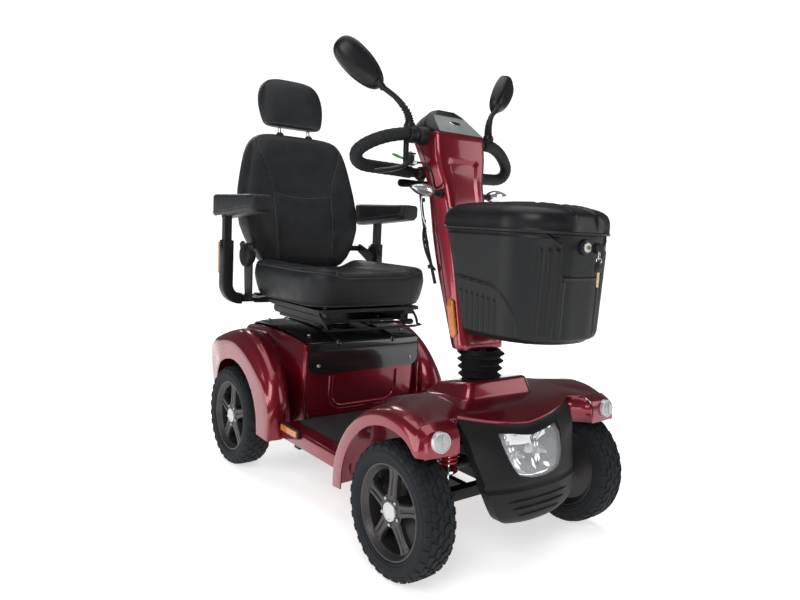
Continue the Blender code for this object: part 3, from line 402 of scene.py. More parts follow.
def curve_through(points, per_span=6):
    """Catmull-Rom curve through the given points."""
    route = [Vector(p) for p in points]
    route = [2 * route[0] - route[1]] + route + [2 * route[-1] - route[-2]]
    made = []
    for a, b, c, d in zip(route, route[1:], route[2:], route[3:]):
        for i in range(per_span):
            t = i / per_span
            made.append(0.5 * (2 * b + (c - a) * t + (2 * a - 5 * b + 4 * c - d) * t * t
                               + (3 * b - a - 3 * c + d) * t ** 3))
    made.append(route[-2])
    return made


def sweep(path, radius, steps=20, bm=None, flat=1.0):
    """Round (or flattened) tube along a path; radius is a number or one per point."""
    path = [Vector(p) for p in path]
    radii = radius if isinstance(radius, list) else [radius] * len(path)
    tangents = [(b - a).normalized() for a, b in zip(path, path[1:])]
    inner = [(a + b).normalized() for a, b in zip(tangents, tangents[1:])]
    tangents = [tangents[0]] + inner + [tangents[-1]]
    first = cross_axes(tangents[0])[1]
    rings = []
    for point, tangent, size in zip(path, tangents, radii):
        first = (first - first.dot(tangent) * tangent).normalized()
        second = tangent.cross(first)
        rings.append([point + size * (math.cos(2 * math.pi * i / steps) * first
                                      + flat * math.sin(2 * math.pi * i / steps) * second)
                      for i in range(steps)])
    return loft(rings, bm)


def along_route(values, count):
    """Spread the given values evenly over count points."""
    spots = [i * (len(values) - 1) / (count - 1) for i in range(count)]
    made = []
    for spot in spots:
        low = min(int(spot), len(values) - 2)
        made.append(values[low] + (values[low + 1] - values[low]) * (spot - low))
    return made


def plate(outline, axis, low, high, bm=None):
    """A flat outline made solid between two places along an axis."""
    def lift(u, v, w):
        return {"x": (w, u, v), "y": (u, w, v), "z": (u, v, w)}[axis]
    return loft([[lift(u, v, w) for u, v in outline] for w in (low, high)], bm)


def box(middle, size, bm=None):
    low = [m - s / 2 for m, s in zip(middle, size)]
    high = [m + s / 2 for m, s in zip(middle, size)]
    outline = [(low[0], low[1]), (high[0], low[1]), (high[0], high[1]), (low[0], high[1])]
    return plate(outline, "z", low[2], high[2], bm)


def rounded(u_low, u_high, v_low, v_high, low_radius, high_radius=None, steps=8):
    """Outline of a rectangle with round corners; the two high corners may have their own radius."""
    high_radius = low_radius if high_radius is None else high_radius
    corners = [(u_high - low_radius, v_low + low_radius, low_radius, -90),
               (u_high - high_radius, v_high - high_radius, high_radius, 0),
               (u_low + high_radius, v_high - high_radius, high_radius, 90),
               (u_low + low_radius, v_low + low_radius, low_radius, 180)]
    outline = []
    for u, v, radius, start in corners:
        for i in range(steps + 1):
            angle = math.radians(start + 90 * i / steps)
            outline.append((u + radius * math.cos(angle), v + radius * math.sin(angle)))
    return outline


def level(outline, z):
    return [(x, y, z) for x, y in outline]


def arc(centre, radius, start, end, steps):
    return [(centre[0] + radius * math.cos(math.radians(start + (end - start) * i / steps)),
             centre[1] + radius * math.sin(math.radians(start + (end - start) * i / steps)))
            for i in range(steps + 1)]


def between(a, b, t):
    return a + (b - a) * t


def smooth_rows(rows, per_span=4):
    """Catmull-Rom between rows, so that a few stations make a smooth skin."""
    count = len(rows[0])
    columns = [curve_through([row[i] for row in rows], per_span) for i in range(count)]
    return [[column[k] for column in columns] for k in range(len(columns[0]))]


def smooth_along(rows, per_span=4):
    return [curve_through(row, per_span) for row in rows]


def sided(points, side):
    """The same points on the rider's left (side 1) or right (side -1)."""
    return [(side * x, y, z) for x, y, z in points]


def dress(nodes, material):
    """Give CAD nodes that keep their own shape a finished material."""
    for node in nodes:
        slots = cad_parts[node].data.materials
        slots.clear()
        slots.append(material)


def table(rows, spot):
    """Read a short table of (key, value, value...) rows at any spot, by straight lines."""
    rows = sorted(rows)
    spot = min(max(spot, rows[0][0]), rows[-1][0])
    for low, high in zip(rows, rows[1:]):
        if spot <= high[0]:
            t = (spot - low[0]) / (high[0] - low[0])
            return [between(a, b, t) for a, b in zip(low, high)]
    return list(rows[-1])


def carve(target, tool_bm):
    """Cut a closed shape out of a piece, once its own modifiers are applied."""
    mesh = bpy.data.meshes.new("tool")
    bmesh.ops.recalc_face_normals(tool_bm, faces=tool_bm.faces)
    tool_bm.to_mesh(mesh)
    tool_bm.free()
    mesh.transform(Matrix.Translation((0, FRONT_Y, 0)))
    tool = bpy.data.objects.new("tool", mesh)
    bpy.context.collection.objects.link(tool)
    cutter = target.modifiers.new("carve", "BOOLEAN")
    cutter.operation = "DIFFERENCE"
    cutter.solver = "EXACT"
    cutter.object = tool
    graph = bpy.context.evaluated_depsgraph_get()
    made = bpy.data.meshes.new_from_object(target.evaluated_get(graph))
    target.modifiers.clear()
    target.data = made
    bpy.data.objects.remove(tool)
    made.set_sharp_from_angle(angle=math.radians(38))


def soften(target, width, segments=2):
    """Round the hard edges."""
    edge = target.modifiers.new("edge", "BEVEL")
    edge.width = width
    edge.segments = segments
    edge.limit_method = "ANGLE"
    edge.angle_limit = math.radians(40)
    edge.harden_normals = True


# ------------------------------------------------------------------ wheels
TREAD_COUNT = 30
# half of the carcass section: (distance from the middle plane, radius), from the bead to the crown
CARCASS = [(0.034, 0.1145), (0.0395, 0.1160), (0.0415, 0.1185), (0.0420, 0.1225), (0.0437, 0.1240),
           (0.0442, 0.1270), (0.0437, 0.1300), (0.0446, 0.1320), (0.0450, 0.1380), (0.0446, 0.1430),
           (0.0432, 0.1450), (0.0430, 0.1495), (0.0412, 0.1540), (0.0360, 0.1585), (0.0270, 0.1610),
           (0.0120, 0.1622), (0.0, 0.1624)]
BARREL = [(0.0300, 0.1160), (0.0370, 0.1160), (0.0390, 0.1145), (0.0385, 0.1110), (0.0350, 0.1075),
          (0.0300, 0.1050), (0.0240, 0.0990), (-0.0160, 0.0975), (-0.0170, 0.0240), (-0.0200, 0.0240),
          (-0.0200, 0.0985), (-0.0300, 0.1060), (-0.0385, 0.1130), (-0.0370, 0.1160), (-0.0300, 0.1160),
          (-0.0200, 0.1120), (0.0200, 0.1120)]


def tread_block(bm, centre, side, angle, offset, width, length, tops, skew):
    """One rubber block: raised from the carcass, a little smaller at its top."""
    corners = []
    for radius_index, grow in ((0, 1.0), (1, 0.86)):
        for across, along in ((-1, -1), (1, -1), (1, 1), (-1, 1)):
            o = offset + across * width * grow / 2
            a = angle + (along * length * grow / 2 + across * skew) / WHEEL_RADIUS
            radius = tops[1 if across * math.copysign(1, offset) > 0 else 0]
            radius = radius if radius_index else radius - 0.008
            corners.append(bm.verts.new(centre + Vector((side * o, radius * math.cos(a),
                                                         radius * math.sin(a)))))
    low, high = corners[:4], corners[4:]
    bm.faces.new(high)
    for i in range(4):
        j = (i + 1) % 4
        bm.faces.new((low[i], low[j], high[j], high[i]))
    bm.faces.new(low)


def make_tyre(name, centre, side, body):
    """Carcass, three staggered rows of tread blocks on each shoulder, and fine ribs down the side wall."""
    profile = [(-o, r) for o, r in CARCASS] + CARCASS[-2::-1] + [(0.030, 0.112), (-0.030, 0.112)]
    bm = turned(centre, (side, 0, 0), profile, 90, hollow=True)
    step = 2 * math.pi / TREAD_COUNT
    for i in range(TREAD_COUNT):
        for s in (-1, 1):
            stagger = 0.25 * s * step
            tread_block(bm, centre, side, i * step + stagger, s * 0.0085, 0.013, 0.024,
                        (WHEEL_RADIUS, WHEEL_RADIUS), 0.004)
            tread_block(bm, centre, side, (i + 0.5) * step + stagger, s * 0.0245, 0.014, 0.021,
                        (WHEEL_RADIUS - 0.0003, WHEEL_RADIUS - 0.0015), -0.003)
            tread_block(bm, centre, side, i * step + stagger, s * 0.0385, 0.0105, 0.019,
                        (WHEEL_RADIUS - 0.003, 0.1555), 0.0)
    for i in range(TREAD_COUNT * 2):
        for s in (-1, 1):
            tread_block(bm, centre, side, i * step / 2, s * 0.0405, 0.0080, 0.0045, (0.1490, 0.1440), 0.0)
    piece(f"tread_{body}", bm, body, TYRE, 30, (name,))


def make_spoke(bm, centre, side, angle):
    """Broad dished spoke with a groove down its face, flaring where it meets the barrel."""
    rings = []
    for radius, width, face, groove in ((0.022, 0.0190, 0.029, 0.0), (0.036, 0.0175, 0.0290, 0.002),
                                        (0.055, 0.0150, 0.0285, 0.004), (0.075, 0.0142, 0.0275, 0.004),
                                        (0.090, 0.0160, 0.0270, 0.003), (0.1020, 0.0235, 0.0265, 0.0)):
        section = [(-1.0, -0.016), (-1.0, -0.004), (-0.80, 0.0), (-0.26, 0.0), (-0.14, -groove),
                   (0.14, -groove), (0.26, 0.0), (0.80, 0.0), (1.0, -0.004), (1.0, -0.016)]
        ring = []
        for across, depth in section:
            y, z = radius, across * width
            ring.append(centre + Vector((side * (face + depth),
                                         y * math.cos(angle) - z * math.sin(angle),
                                         y * math.sin(angle) + z * math.cos(angle))))
        rings.append(ring)
    loft(rings, bm)


def make_rim(name, centre, side, body):
    """Barrel, five dished spokes, wheel bolts, centre cap and valve."""
    bm = turned(centre, (side, 0, 0), BARREL, 72, hollow=True)
    turned(centre, (side, 0, 0), [(-0.016, 0.022), (-0.016, 0.027), (0.012, 0.030), (0.0265, 0.041),
                                  (0.0285, 0.039), (0.0290, 0.026)], 40, bm)
    for i in range(5):
        make_spoke(bm, centre, side, math.radians(90 + 72 * i))
    piece(f"spokes_{body}", bm, body, RIM, 32, (name,), bevel=0.0008)

    bolts = bmesh.new()
    for i in range(5):
        angle = math.radians(90 + 36 + 72 * i)
        spot = centre + Vector((side * 0.028, 0.0325 * math.cos(angle), 0.0325 * math.sin(angle)))
        turned(spot, (side, 0, 0), [(0, 0.0050), (0.0035, 0.0050), (0.0045, 0.0040)], 6, bolts)
    piece(f"bolts_{body}", bolts, body, STEEL, 20)
    cap = turned(centre, (side, 0, 0), [(0.028, 0.0235), (0.0335, 0.0235), (0.0352, 0.0220),
                                        (0.0360, 0.0180), (0.0350, 0.0165), (0.0352, 0.0080),
                                        (0.0354, 0.0010)], 40)
    piece(f"cap_{body}", cap, body, CAP, 25)
    angle = math.radians(54)
    spot = centre + Vector((side * 0.020, 0.099 * math.cos(angle), 0.099 * math.sin(angle)))
    inward = Vector((side * 0.55, -math.cos(angle), -math.sin(angle)))
    valve = turned(spot, inward, [(-0.004, 0.0035), (0.008, 0.0030), (0.009, 0.0040), (0.017, 0.0038)], 14)
    piece(f"valve_{body}", valve, body, RUBBER)


def make_wheels():
    for end, y in (("front", 0.0), ("rear", WHEELBASE)):
        for side_name, side in SIDES:
            centre = Vector((side * TRACK_HALF, y, WHEEL_RADIUS))
            body = f"wheel_{end}_{side_name}"
            make_tyre(f"tyre_{end}_{side_name}", centre, side, body)
            make_rim(f"rim_{end}_{side_name}", centre, side, body)


# ------------------------------------------------------------------ front fairing
ARCH = Vector((0.012, 0.168))
ARCH_RADIUS = 0.197
CREST_RADIUS = 0.241
FLANGE_X = 0.345
HOOD_X = 0.240
FLANGE_RADII = [(-5, 0.2335), (10, 0.2320), (37, 0.2250), (58, 0.2215), (88, 0.2180), (105, 0.2135),
                (122, 0.2060)]
# the hood's middle line: (angle of the fender row it meets, y, z), from the floor to the front
HOOD = [(-5, 0.243, 0.156), (10, 0.243, 0.212), (25, 0.241, 0.268), (40, 0.228, 0.326), (54, 0.198, 0.370),
        (68, 0.150, 0.394), (84, 0.090, 0.4035), (100, 0.030, 0.4045), (112, -0.020, 0.4010)]


def polar(radius, angle):
    turn = math.radians(angle)
    return ARCH.x + radius * math.cos(turn), ARCH.y + radius * math.sin(turn)


def fender_row(angle, hood):
    """One line across the left fender: arch lip, flange, rolled edge, crest, and in to the hood."""
    flange = table(FLANGE_RADII, angle)[1]
    lip = polar(ARCH_RADIUS, angle)
    outer = polar(flange, angle)
    roll = polar(flange + 0.007, angle)
    shoulder = polar(between(flange, CREST_RADIUS, 0.72), angle)
    crest = polar(CREST_RADIUS, angle)
    inner = [between(a, b, 0.30) for a, b in zip(crest, hood)]
    return [(FLANGE_X - 0.003, *lip), (FLANGE_X, *lip), (FLANGE_X, *outer), (FLANGE_X - 0.002, *roll),
            (FLANGE_X - 0.010, *shoulder), (FLANGE_X - 0.026, *crest), (0.285, *inner), (HOOD_X, *hood)]


def hood_edge(x):
    """Front edge of the hood over the black panel: a shallow V, bowed in plan like the panel."""
    if abs(x) > 0.2:
        return x, -0.084, 0.395
    t = abs(x) / 0.199
    return x, -0.0635 - 0.0455 * (1 - t ** 2.3), 0.3610 + 0.0315 * t ** 1.3


# the two fender rows before the tip: (distance in from the flange, y, z), from the arch lip to the hood
FENDER_NOSE = (((0.003, -0.092, 0.328), (0.0, -0.092, 0.328), (0.0, -0.095, 0.339), (0.002, -0.094, 0.346),
                (0.008, -0.090, 0.373), (0.024, -0.086, 0.391), (0.060, -0.085, 0.396),
                (0.105, -0.084, 0.395)), ((0.003, -0.101, 0.325), (0.0, -0.102, 0.326),
                                          (0.0, -0.104, 0.334), (0.003, -0.103, 0.344),
                                          (0.010, -0.100, 0.370), (0.026, -0.099, 0.387),
                                          (0.060, -0.099, 0.392), (0.105, -0.098, 0.3915)))
# the upright face of the tip: (y, low z, distance in from the flange, high z)
FENDER_TIP = ((-0.110, 0.326, 0.004, 0.384), (-0.115, 0.3255, 0.008, 0.375), (-0.1180, 0.325, 0.011, 0.364),
              (-0.1200, 0.325, 0.012, 0.352))
# inner wall of the tip: (x, y and z of its top, y and z of its foot), from the hood to the tip
CHEEK = ((0.1900, -0.0550, 0.3895, -0.0550, 0.3220), (0.2110, -0.0730, 0.3905, -0.0740, 0.3220),
         (0.2240, -0.0850, 0.3895, -0.0870, 0.3225), (0.2360, -0.0970, 0.3880, -0.1000, 0.3230),
         (0.2395, -0.1070, 0.3840, -0.1090, 0.3235), (0.2400, -0.1155, 0.3760, -0.1160, 0.3240),
         (0.2405, -0.1215, 0.3620, -0.1210, 0.3245), (0.2405, -0.1250, 0.3270, -0.1238, 0.3245))
# shelf that closes the gap between the hood and the tip: its inner and outer edge
WEB = (((0.190, -0.054, 0.3900), (0.207, -0.068, 0.3905), (0.222, -0.083, 0.3905), (0.236, -0.097, 0.3900)),
       ((0.241, -0.083, 0.3950), (0.241, -0.088, 0.3945), (0.241, -0.093, 0.3935), (0.241, -0.098, 0.3915)))


def fender_rows():
    """The left front fender, from the floor over its crest to the upright face of the tip."""
    rows = [fender_row(angle, (y, z)) for angle, y, z in HOOD]
    rows += [[(FLANGE_X - inward, y, z) for inward, y, z in line] for line in FENDER_NOSE]
    rows = smooth_rows(rows, 5)
    for y, low, trim, high in FENDER_TIP:
        edge = FLANGE_X - trim
        middle, upper = between(low, high, 0.40), between(low, high, 0.75)
        rows.append([(edge - 0.003, y + 0.003, low - 0.002), (edge, y + 0.002, low), (edge, y, low + 0.006),
                     (edge - 0.002, y, middle), (edge - 0.008, y, upper),
                     (edge - 0.024, y - 0.002, high - 0.002), (0.285, y - 0.004, high),
                     (HOOD_X, y - 0.005, high)])
    rows.append([(x, y + 0.001, 0.3240) for x, y, _ in rows[-1]])
    return rows


def make_front_fenders():
    rows = fender_rows()
    brow = [(x, y, z) for x, y, z, _, _ in CHEEK]
    foot = [(x, y, z) for x, _, _, y, z in CHEEK]
    for name, side in SIDES:
        wing = piece(f"fender_front_{name}", skin([sided(row, side) for row in rows]), "chassis", PAINT,
                     46, wall=0.0035)
        piece(f"fender_web_{name}", skin([sided(line, side) for line in WEB]), "chassis", PAINT,
              wall=0.003)
        piece(f"fender_cheek_{name}", skin([sided(line, side) for line in (brow, foot)]), "chassis", PAINT,
              wall=0.003)
        soften(wing, 0.0012)


def make_hood():
    """The red cover between the fenders, with its V-shaped front edge rolled down over the black panel."""
    columns = [HOOD_X, 0.220, 0.199, 0.175, 0.150, 0.125, 0.10, 0.075, 0.05, 0.025, 0.0]
    columns += [-x for x in columns[-2::-1]]
    hood_rows = [[(x, y, z) for x in columns] for _, y, z in HOOD]
    last = [hood_edge(x) for x in columns]
    middle = [(x, between(y, HOOD[-1][1], 0.42), between(z, HOOD[-1][2], 0.42) + 0.012
               * (1 - abs(x) / HOOD_X)) for x, y, z in last]
    rows = smooth_rows(hood_rows + [middle, last], 5)
    rows.append([(x, y - 0.0006, z - 0.0035) for x, y, z in last])
    rows.append([(x, y + 0.0022, z - 0.0085) for x, y, z in last])
    hood = piece("hood", skin(rows), "chassis", PAINT, 50, ("front_shroud",), wall=0.0035)
    carve(hood, turned((0, COLUMN_Y, 0.35), UP, [(0, 0.060), (0.1, 0.060)], 40))
    soften(hood, 0.0012)


def make_plinth():
    """Raised block round the foot of the tiller, its top leaning forward."""
    rings = []
    for z, half, front, rear, corner in ((0.399, 0.132, -0.020, 0.160, 0.030),
                                         (0.4035, 0.124, -0.014, 0.154, 0.028),
                                         (0.410, 0.119, -0.009, 0.150, 0.026),
                                         (0.426, 0.110, -0.001, 0.143, 0.024),
                                         (0.4315, 0.106, 0.003, 0.139, 0.022),
                                         (0.434, 0.100, 0.009, 0.133, 0.018)):
        lean = 0.18 * ease(z, 0.4035, 0.426)
        outline = rounded(-half, half, front, rear, corner)
        rings.append([(x, y, z + lean * (COLUMN_Y - y)) for x, y in outline])
    plinth = piece("plinth", loft(rings), "chassis", PAINT, 50)
    carve(plinth, turned((0, COLUMN_Y, 0.35), UP, [(0, 0.052), (0.1, 0.052)], 40))


# the black front panel: (z, half width, y at its sides, y at its middle)
PANEL = [(0.1210, 0.048, -0.128, -0.136), (0.1230, 0.070, -0.134, -0.148), (0.1280, 0.091, -0.141, -0.159),
         (0.1420, 0.117, -0.148, -0.168), (0.1680, 0.137, -0.150, -0.173),
         (0.2120, 0.1550, -0.141, -0.171), (0.2205, 0.1560, -0.1330, -0.1640),
         (0.2265, 0.1575, -0.1335, -0.1655), (0.2500, 0.1620, -0.126, -0.1620),
         (0.2850, 0.1730, -0.113, -0.1520), (0.3250, 0.1880, -0.094, -0.1330),
         (0.3480, 0.1975, -0.0640, -0.1090), (0.3580, 0.1980, -0.0600, -0.1045)]


def panel_point(x, z, proud=0.0):
    """The black front panel's surface, bowed in plan."""
    _, half, side_y, front_y = table(PANEL, z)
    t = min(1.0, abs(x) / half)
    return Vector((x, side_y + (front_y - side_y) * (1 - t ** 2.3) - proud, z))


LAMP_HALF = [(0.237, 0.060), (0.248, 0.0700), (0.266, 0.0860), (0.295, 0.0975), (0.325, 0.1055),
             (0.350, 0.1070)]
LAMP_Z = 0.286


def lamp_point(u, v, proud):
    """A point of the shield-shaped lamp: u from -1 to 1 across, v from 0 at the bottom to 1."""
    low = 0.2370 + 0.012 * abs(u) ** 2.5
    high = 0.3330 + 0.0165 * abs(u) ** 1.3
    z = between(low, high, v)
    return panel_point(u * table(LAMP_HALF, z)[1], z, proud)


def lamp_grid(columns, rows, proud, shrink=1.0):
    """Rows of points over the lamp; proud gives each one's height for (u, v) from -1 to 1."""
    grid = []
    for j in range(rows + 1):
        v = 2 * j / rows - 1
        row = []
        for i in range(columns + 1):
            u = 2 * i / columns - 1
            row.append(lamp_point(u * shrink, 0.5 + 0.5 * v * shrink, proud(u, v)))
        grid.append(row)
    return grid


def lamp_outline():
    """Round the lamp's opening: along its foot, up the left, back along its brow and down the right."""
    across = [i / 6 - 1 for i in range(12)]
    route = [(u, 0) for u in across] + [(1, i / 4) for i in range(4)]
    route += [(-u, 1) for u in across] + [(-1, 1 - i / 4) for i in range(4)]
    return [lamp_point(u, v, 0) for u, v in route]


def make_front_panel():
    """Coarse black panel with returned sides, opened for the lamp."""
    steps = 28
    rows = []
    for z, half, side_y, front_y in PANEL:
        row = []
        for i in range(steps + 1):
            t = 2 * i / steps - 1
            lift = 0.0315 * abs(t) ** 1.35 if z > 0.34 else (0.016 * abs(t) if z > 0.31 else 0.0)
            row.append((half * t, side_y + (front_y - side_y) * (1 - abs(t) ** 2.3), z + lift))
        back = [(x * (half + 0.001), side_y + 0.028, row[0][2]) for x in (-1, 1)]
        rows.append([back[0]] + row + [back[1]])
    rows = smooth_rows(rows[:6], 3)[:-1] + smooth_rows(rows[5:], 3)
    panel = piece("front_panel", skin(rows), "chassis", COARSE, 40,
                  ("front_bumper", "headlight"), wall=0.006)
    carve(panel, loft([[(p.x, y, p.z) for p in lamp_outline()] for y in (-0.24, -0.085)]))
    soften(panel, 0.0016)

    ridges = bmesh.new()
    for z, half in ((0.152, 0.074), (0.170, 0.090), (0.188, 0.103)):
        path = [panel_point(half * (2 * i / 16 - 1), z, 0.0004) for i in range(17)]
        radii = [0.0046 * min(1.0, 0.35 + 3.2 * (1 - abs(2 * i / 16 - 1))) for i in range(17)]
        sweep(path, radii, 10, ridges)
    piece("panel_ridges", ridges, "chassis", COARSE)


def make_headlight():
    """Bezel, deep chrome bowl, two lamps with a cap between them, and the clear lens."""
    closed = [Vector((p.x, panel_point(p.x, p.z).y + 0.0005, p.z)) for p in lamp_outline()]
    rings = []
    for scale, depth in ((1.0, -0.0015), (0.972, -0.0018), (0.955, 0.004), (0.955, 0.012), (1.0, 0.010)):
        rings.append([(p.x * scale, p.y + depth, LAMP_Z + (p.z - LAMP_Z) * scale) for p in closed])
    piece("lamp_bezel", skin(rings, closed_rows=True, closed_ends=True), "chassis", SATIN,
          50)

    def bowl(u, v):
        pocket = (1 - abs(u) ** 3) * (1 - abs(v) ** 3)
        twin = 0.5 + 0.5 * math.cos(2 * math.pi * u)
        return -0.008 - 0.034 * pocket * (0.60 + 0.40 * (1 - twin))

    def dome(u, v):
        return 0.0015 + 0.013 * (1 - u ** 4) * (1 - v * v) * (1 - 0.35 * v)
    piece("lamp_reflector", skin(lamp_grid(64, 20, bowl, 0.975)), "chassis", CHROME, 60,
          wall=0.001)
    bulbs = bmesh.new()
    for x in (-0.040, 0.040):
        spot = panel_point(x, 0.285)
        turned((x, spot.y + 0.038, 0.285), FORWARD,
               [(0, 0.010), (0.006, 0.010), (0.010, 0.0065), (0.022, 0.0060), (0.027, 0.0030)], 20, bulbs)
    turned((0, -0.108, 0.291), FORWARD, [(0, 0.017), (0.010, 0.017), (0.013, 0.014), (0.016, 0.006)], 24,
           bulbs)
    piece("lamp_bulbs", bulbs, "chassis", CAP)
    piece("headlight_lens", skin(lamp_grid(40, 16, dome, 0.985)), "chassis", CLEAR, 60, wall=0.0015)


def make_markers():
    """Round frosted marker on each fender tip, with a rib down its middle, in a silver ring."""
    for side_name, side in SIDES:
        base = Vector((side * 0.2948, -0.1225, 0.3595))
        axis = Vector((side * 0.06, -1, 0.10))
        ring = turned(base, axis, [(-0.016, 0.0240), (0.0065, 0.0240), (0.0080, 0.0230), (0.0080, 0.0210),
                                   (0.0, 0.0205)], 40, hollow=True)
        piece(f"marker_ring_{side_name}", ring, "chassis", CAP)
        lens = turned(base, axis, [(0.001, 0.0208), (0.0070, 0.0208), (0.0095, 0.0170), (0.0104, 0.0090),
                                   (0.0106, 0.0005)], 40)
        box(base + axis * 0.0106, (0.0030, 0.0040, 0.033), lens)
        piece(f"marker_lens_{side_name}", lens, "chassis", FROST)


# ------------------------------------------------------------------ floor and sills
def make_floor():
    rings = []
    for z, grow in ((0.163, -0.004), (0.165, 0.0), (0.197, 0.0), (0.2045, -0.002), (0.207, -0.006)):
        rings.append(level(rounded(-0.300 - grow, 0.300 + grow, 0.2455, 0.640, 0.006, 0.006, 3), z))
    piece("floor", loft(rings), "chassis", PAINT, 50, ("floor_shell",))
    mat = [level(rounded(-0.252, 0.252, 0.262, 0.622, 0.018, 0.018, 5), z) for z in (0.2072, 0.2125)]
    mat.append(level(rounded(-0.250, 0.250, 0.264, 0.620, 0.017, 0.017, 5), 0.2138))
    piece("floor_mat_rubber", loft(mat), "chassis", MAT, 50, ("floor_mat",))
    for side_name, side in SIDES:
        low = side * 0.3005
        frame_outline = rounded(0.512, 0.626, 0.189, 0.217, 0.006, 0.006, 3)
        holder = plate(frame_outline, "x", *sorted((low, low + side * 0.007)))
        piece(f"sill_holder_{side_name}", holder, "chassis", BLACK, bevel=0.0015)
        lens_outline = rounded(0.520, 0.618, 0.1935, 0.2125, 0.004, 0.004, 3)
        lens = plate(lens_outline, "x", *sorted((low + side * 0.006, low + side * 0.0115)))
        piece(f"sill_reflector_{side_name}", lens, "chassis", AMBER, bevel=0.0015)


# ------------------------------------------------------------------ rear body
REAR_ARCH = Vector((0.915, 0.165))
REAR_LIP = 0.196
# (angle from the rear horizontal, flange radius, crest radius, radius where the fender meets the tower)
REAR_RADII = [(182, 0.272, 0.278, 0.180), (165, 0.282, 0.292, 0.192), (148, 0.276, 0.300, 0.205),
              (130, 0.258, 0.298, 0.225), (112, 0.252, 0.297, 0.248), (94, 0.255, 0.297, 0.272),
              (76, 0.259, 0.291, 0.285), (60, 0.270, 0.297, 0.300), (47, 0.288, 0.314, 0.322),
              (34, 0.262, 0.282, 0.290), (20, 0.232, 0.246, 0.250), (8, 0.216, 0.226, 0.228)]


# middle line of the rear tower, from the floor over the top to the foot of its rear face
TOWER = [(0.655, 0.165), (0.647, 0.230), (0.641, 0.330), (0.6405, 0.400), (0.646, 0.436), (0.664, 0.452),
         (0.760, 0.461), (0.900, 0.466), (1.030, 0.460), (1.085, 0.440), (1.118, 0.400), (1.128, 0.340),
         (1.126, 0.260), (1.112, 0.200)]


def profile_path(profile, per_span):
    """Smooth (y, z) points through a profile."""
    return [(p.y, p.z) for p in curve_through([(0, y, z) for y, z in profile], per_span)]


def tower_trim(y):
    """How much narrower the tower is towards its rear face."""
    return 0.020 * max(0.0, (y - 1.06) / 0.068)


def rear_polar(radius, angle):
    turn = math.radians(angle)
    return REAR_ARCH.x + radius * math.cos(turn), REAR_ARCH.y + radius * math.sin(turn)


def make_rear_fenders():
    rows = []
    for angle, flange, crest, root in REAR_RADII:
        x = FLANGE_X - 0.030 * max(0.0, (60 - angle) / 52)
        panel, shoulder = between(REAR_LIP, flange, 0.35), between(flange, crest, 0.75)
        slope, foot = between(crest, root, 0.22), between(crest, root, 0.72)
        line = [(x - 0.003, REAR_LIP), (x, REAR_LIP), (x, panel), (x, flange - 0.004),
                (x - 0.004, flange + 0.004), (x - 0.018, shoulder), (x - 0.045, crest), (x - 0.080, slope),
                (0.238, foot), (0.221, root)]
        rows.append([(across, *rear_polar(radius, angle)) for across, radius in line])
    rows = smooth_rows(rows, 4)
    for name, side in SIDES:
        placed = smooth_along([sided(row, side) for row in rows], 2)
        wing = piece(f"fender_rear_{name}", skin(placed), "chassis", PAINT, 46, wall=0.0035)
        soften(wing, 0.0012)


def make_rear_tower():
    """Body between the rear fenders: its skin, its closed sides and the corners that meet the fenders."""
    path = profile_path(TOWER, 4)
    rows = []
    for y, z in path:
        half = 0.2215 - tower_trim(y)
        row = []
        for i in range(25):
            t = 2 * i / 24 - 1
            bow = 0.016 * abs(t) ** 6 * (y < 0.66) - 0.012 * abs(t) ** 4 * (y > 1.1)
            row.append((half * t, y + bow, z - 0.010 * abs(t) ** 6 * (z > 0.44)))
        rows.append(row)
    tower = piece("rear_tower", skin(rows), "chassis", PAINT, 46, ("rear_shroud",), wall=0.0035)
    soften(tower, 0.0012)
    wall = [[(0.2212, y, z - 0.004) for y, z in path],
            [(0.2212, between(y, 0.9, 0.02), 0.170) for y, _ in path]]
    for name, side in SIDES:
        piece(f"tower_side_{name}", skin([sided(line, side) for line in wall]), "chassis", PAINT,
              46, wall=0.003)

    rear_line = sorted((z, y) for y, z in path if y > 1.03)
    near, far = [], []
    for angle, _, _, root in [row for row in REAR_RADII if row[0] <= 76]:
        y, z = rear_polar(root, angle)
        wall_y = table(rear_line, z)[1]
        near.append((0.2225, y, z))
        far.append((0.2205 - tower_trim(wall_y), wall_y - 0.010, z))
    for name, side in SIDES:
        piece(f"rear_corner_{name}", skin([sided(line, side) for line in (near, far)]), "chassis", PAINT,
              50, wall=0.003)


def make_tower_band():
    """Raised U-shaped band on the tower's front."""
    half, low, high, corner = 0.128, 0.232, 0.338, 0.045
    route = [(-half, high)] + arc((-half + corner, low + corner), corner, 180, 270, 6)
    route += [(-x, z) for x, z in route[::-1]]
    wall_y = [(z, y) for y, z in TOWER[:5]]
    band = sweep([(x, table(wall_y, z)[1] - 0.001, z) for x, z in route], 0.0085, 12, flat=0.45)
    piece("rear_front_band", band, "chassis", PAINT)


COVER = [(0.6325, 0.3485), (0.6315, 0.400), (0.6345, 0.434), (0.6480, 0.4535), (0.700, 0.4640),
         (0.800, 0.4720), (0.900, 0.4765), (1.000, 0.4750), (1.036, 0.4660), (1.044, 0.4500)]
SCREW = [(0, 0.0060), (0.0030, 0.0060), (0.0045, 0.0045), (0.0030, 0.0020)]


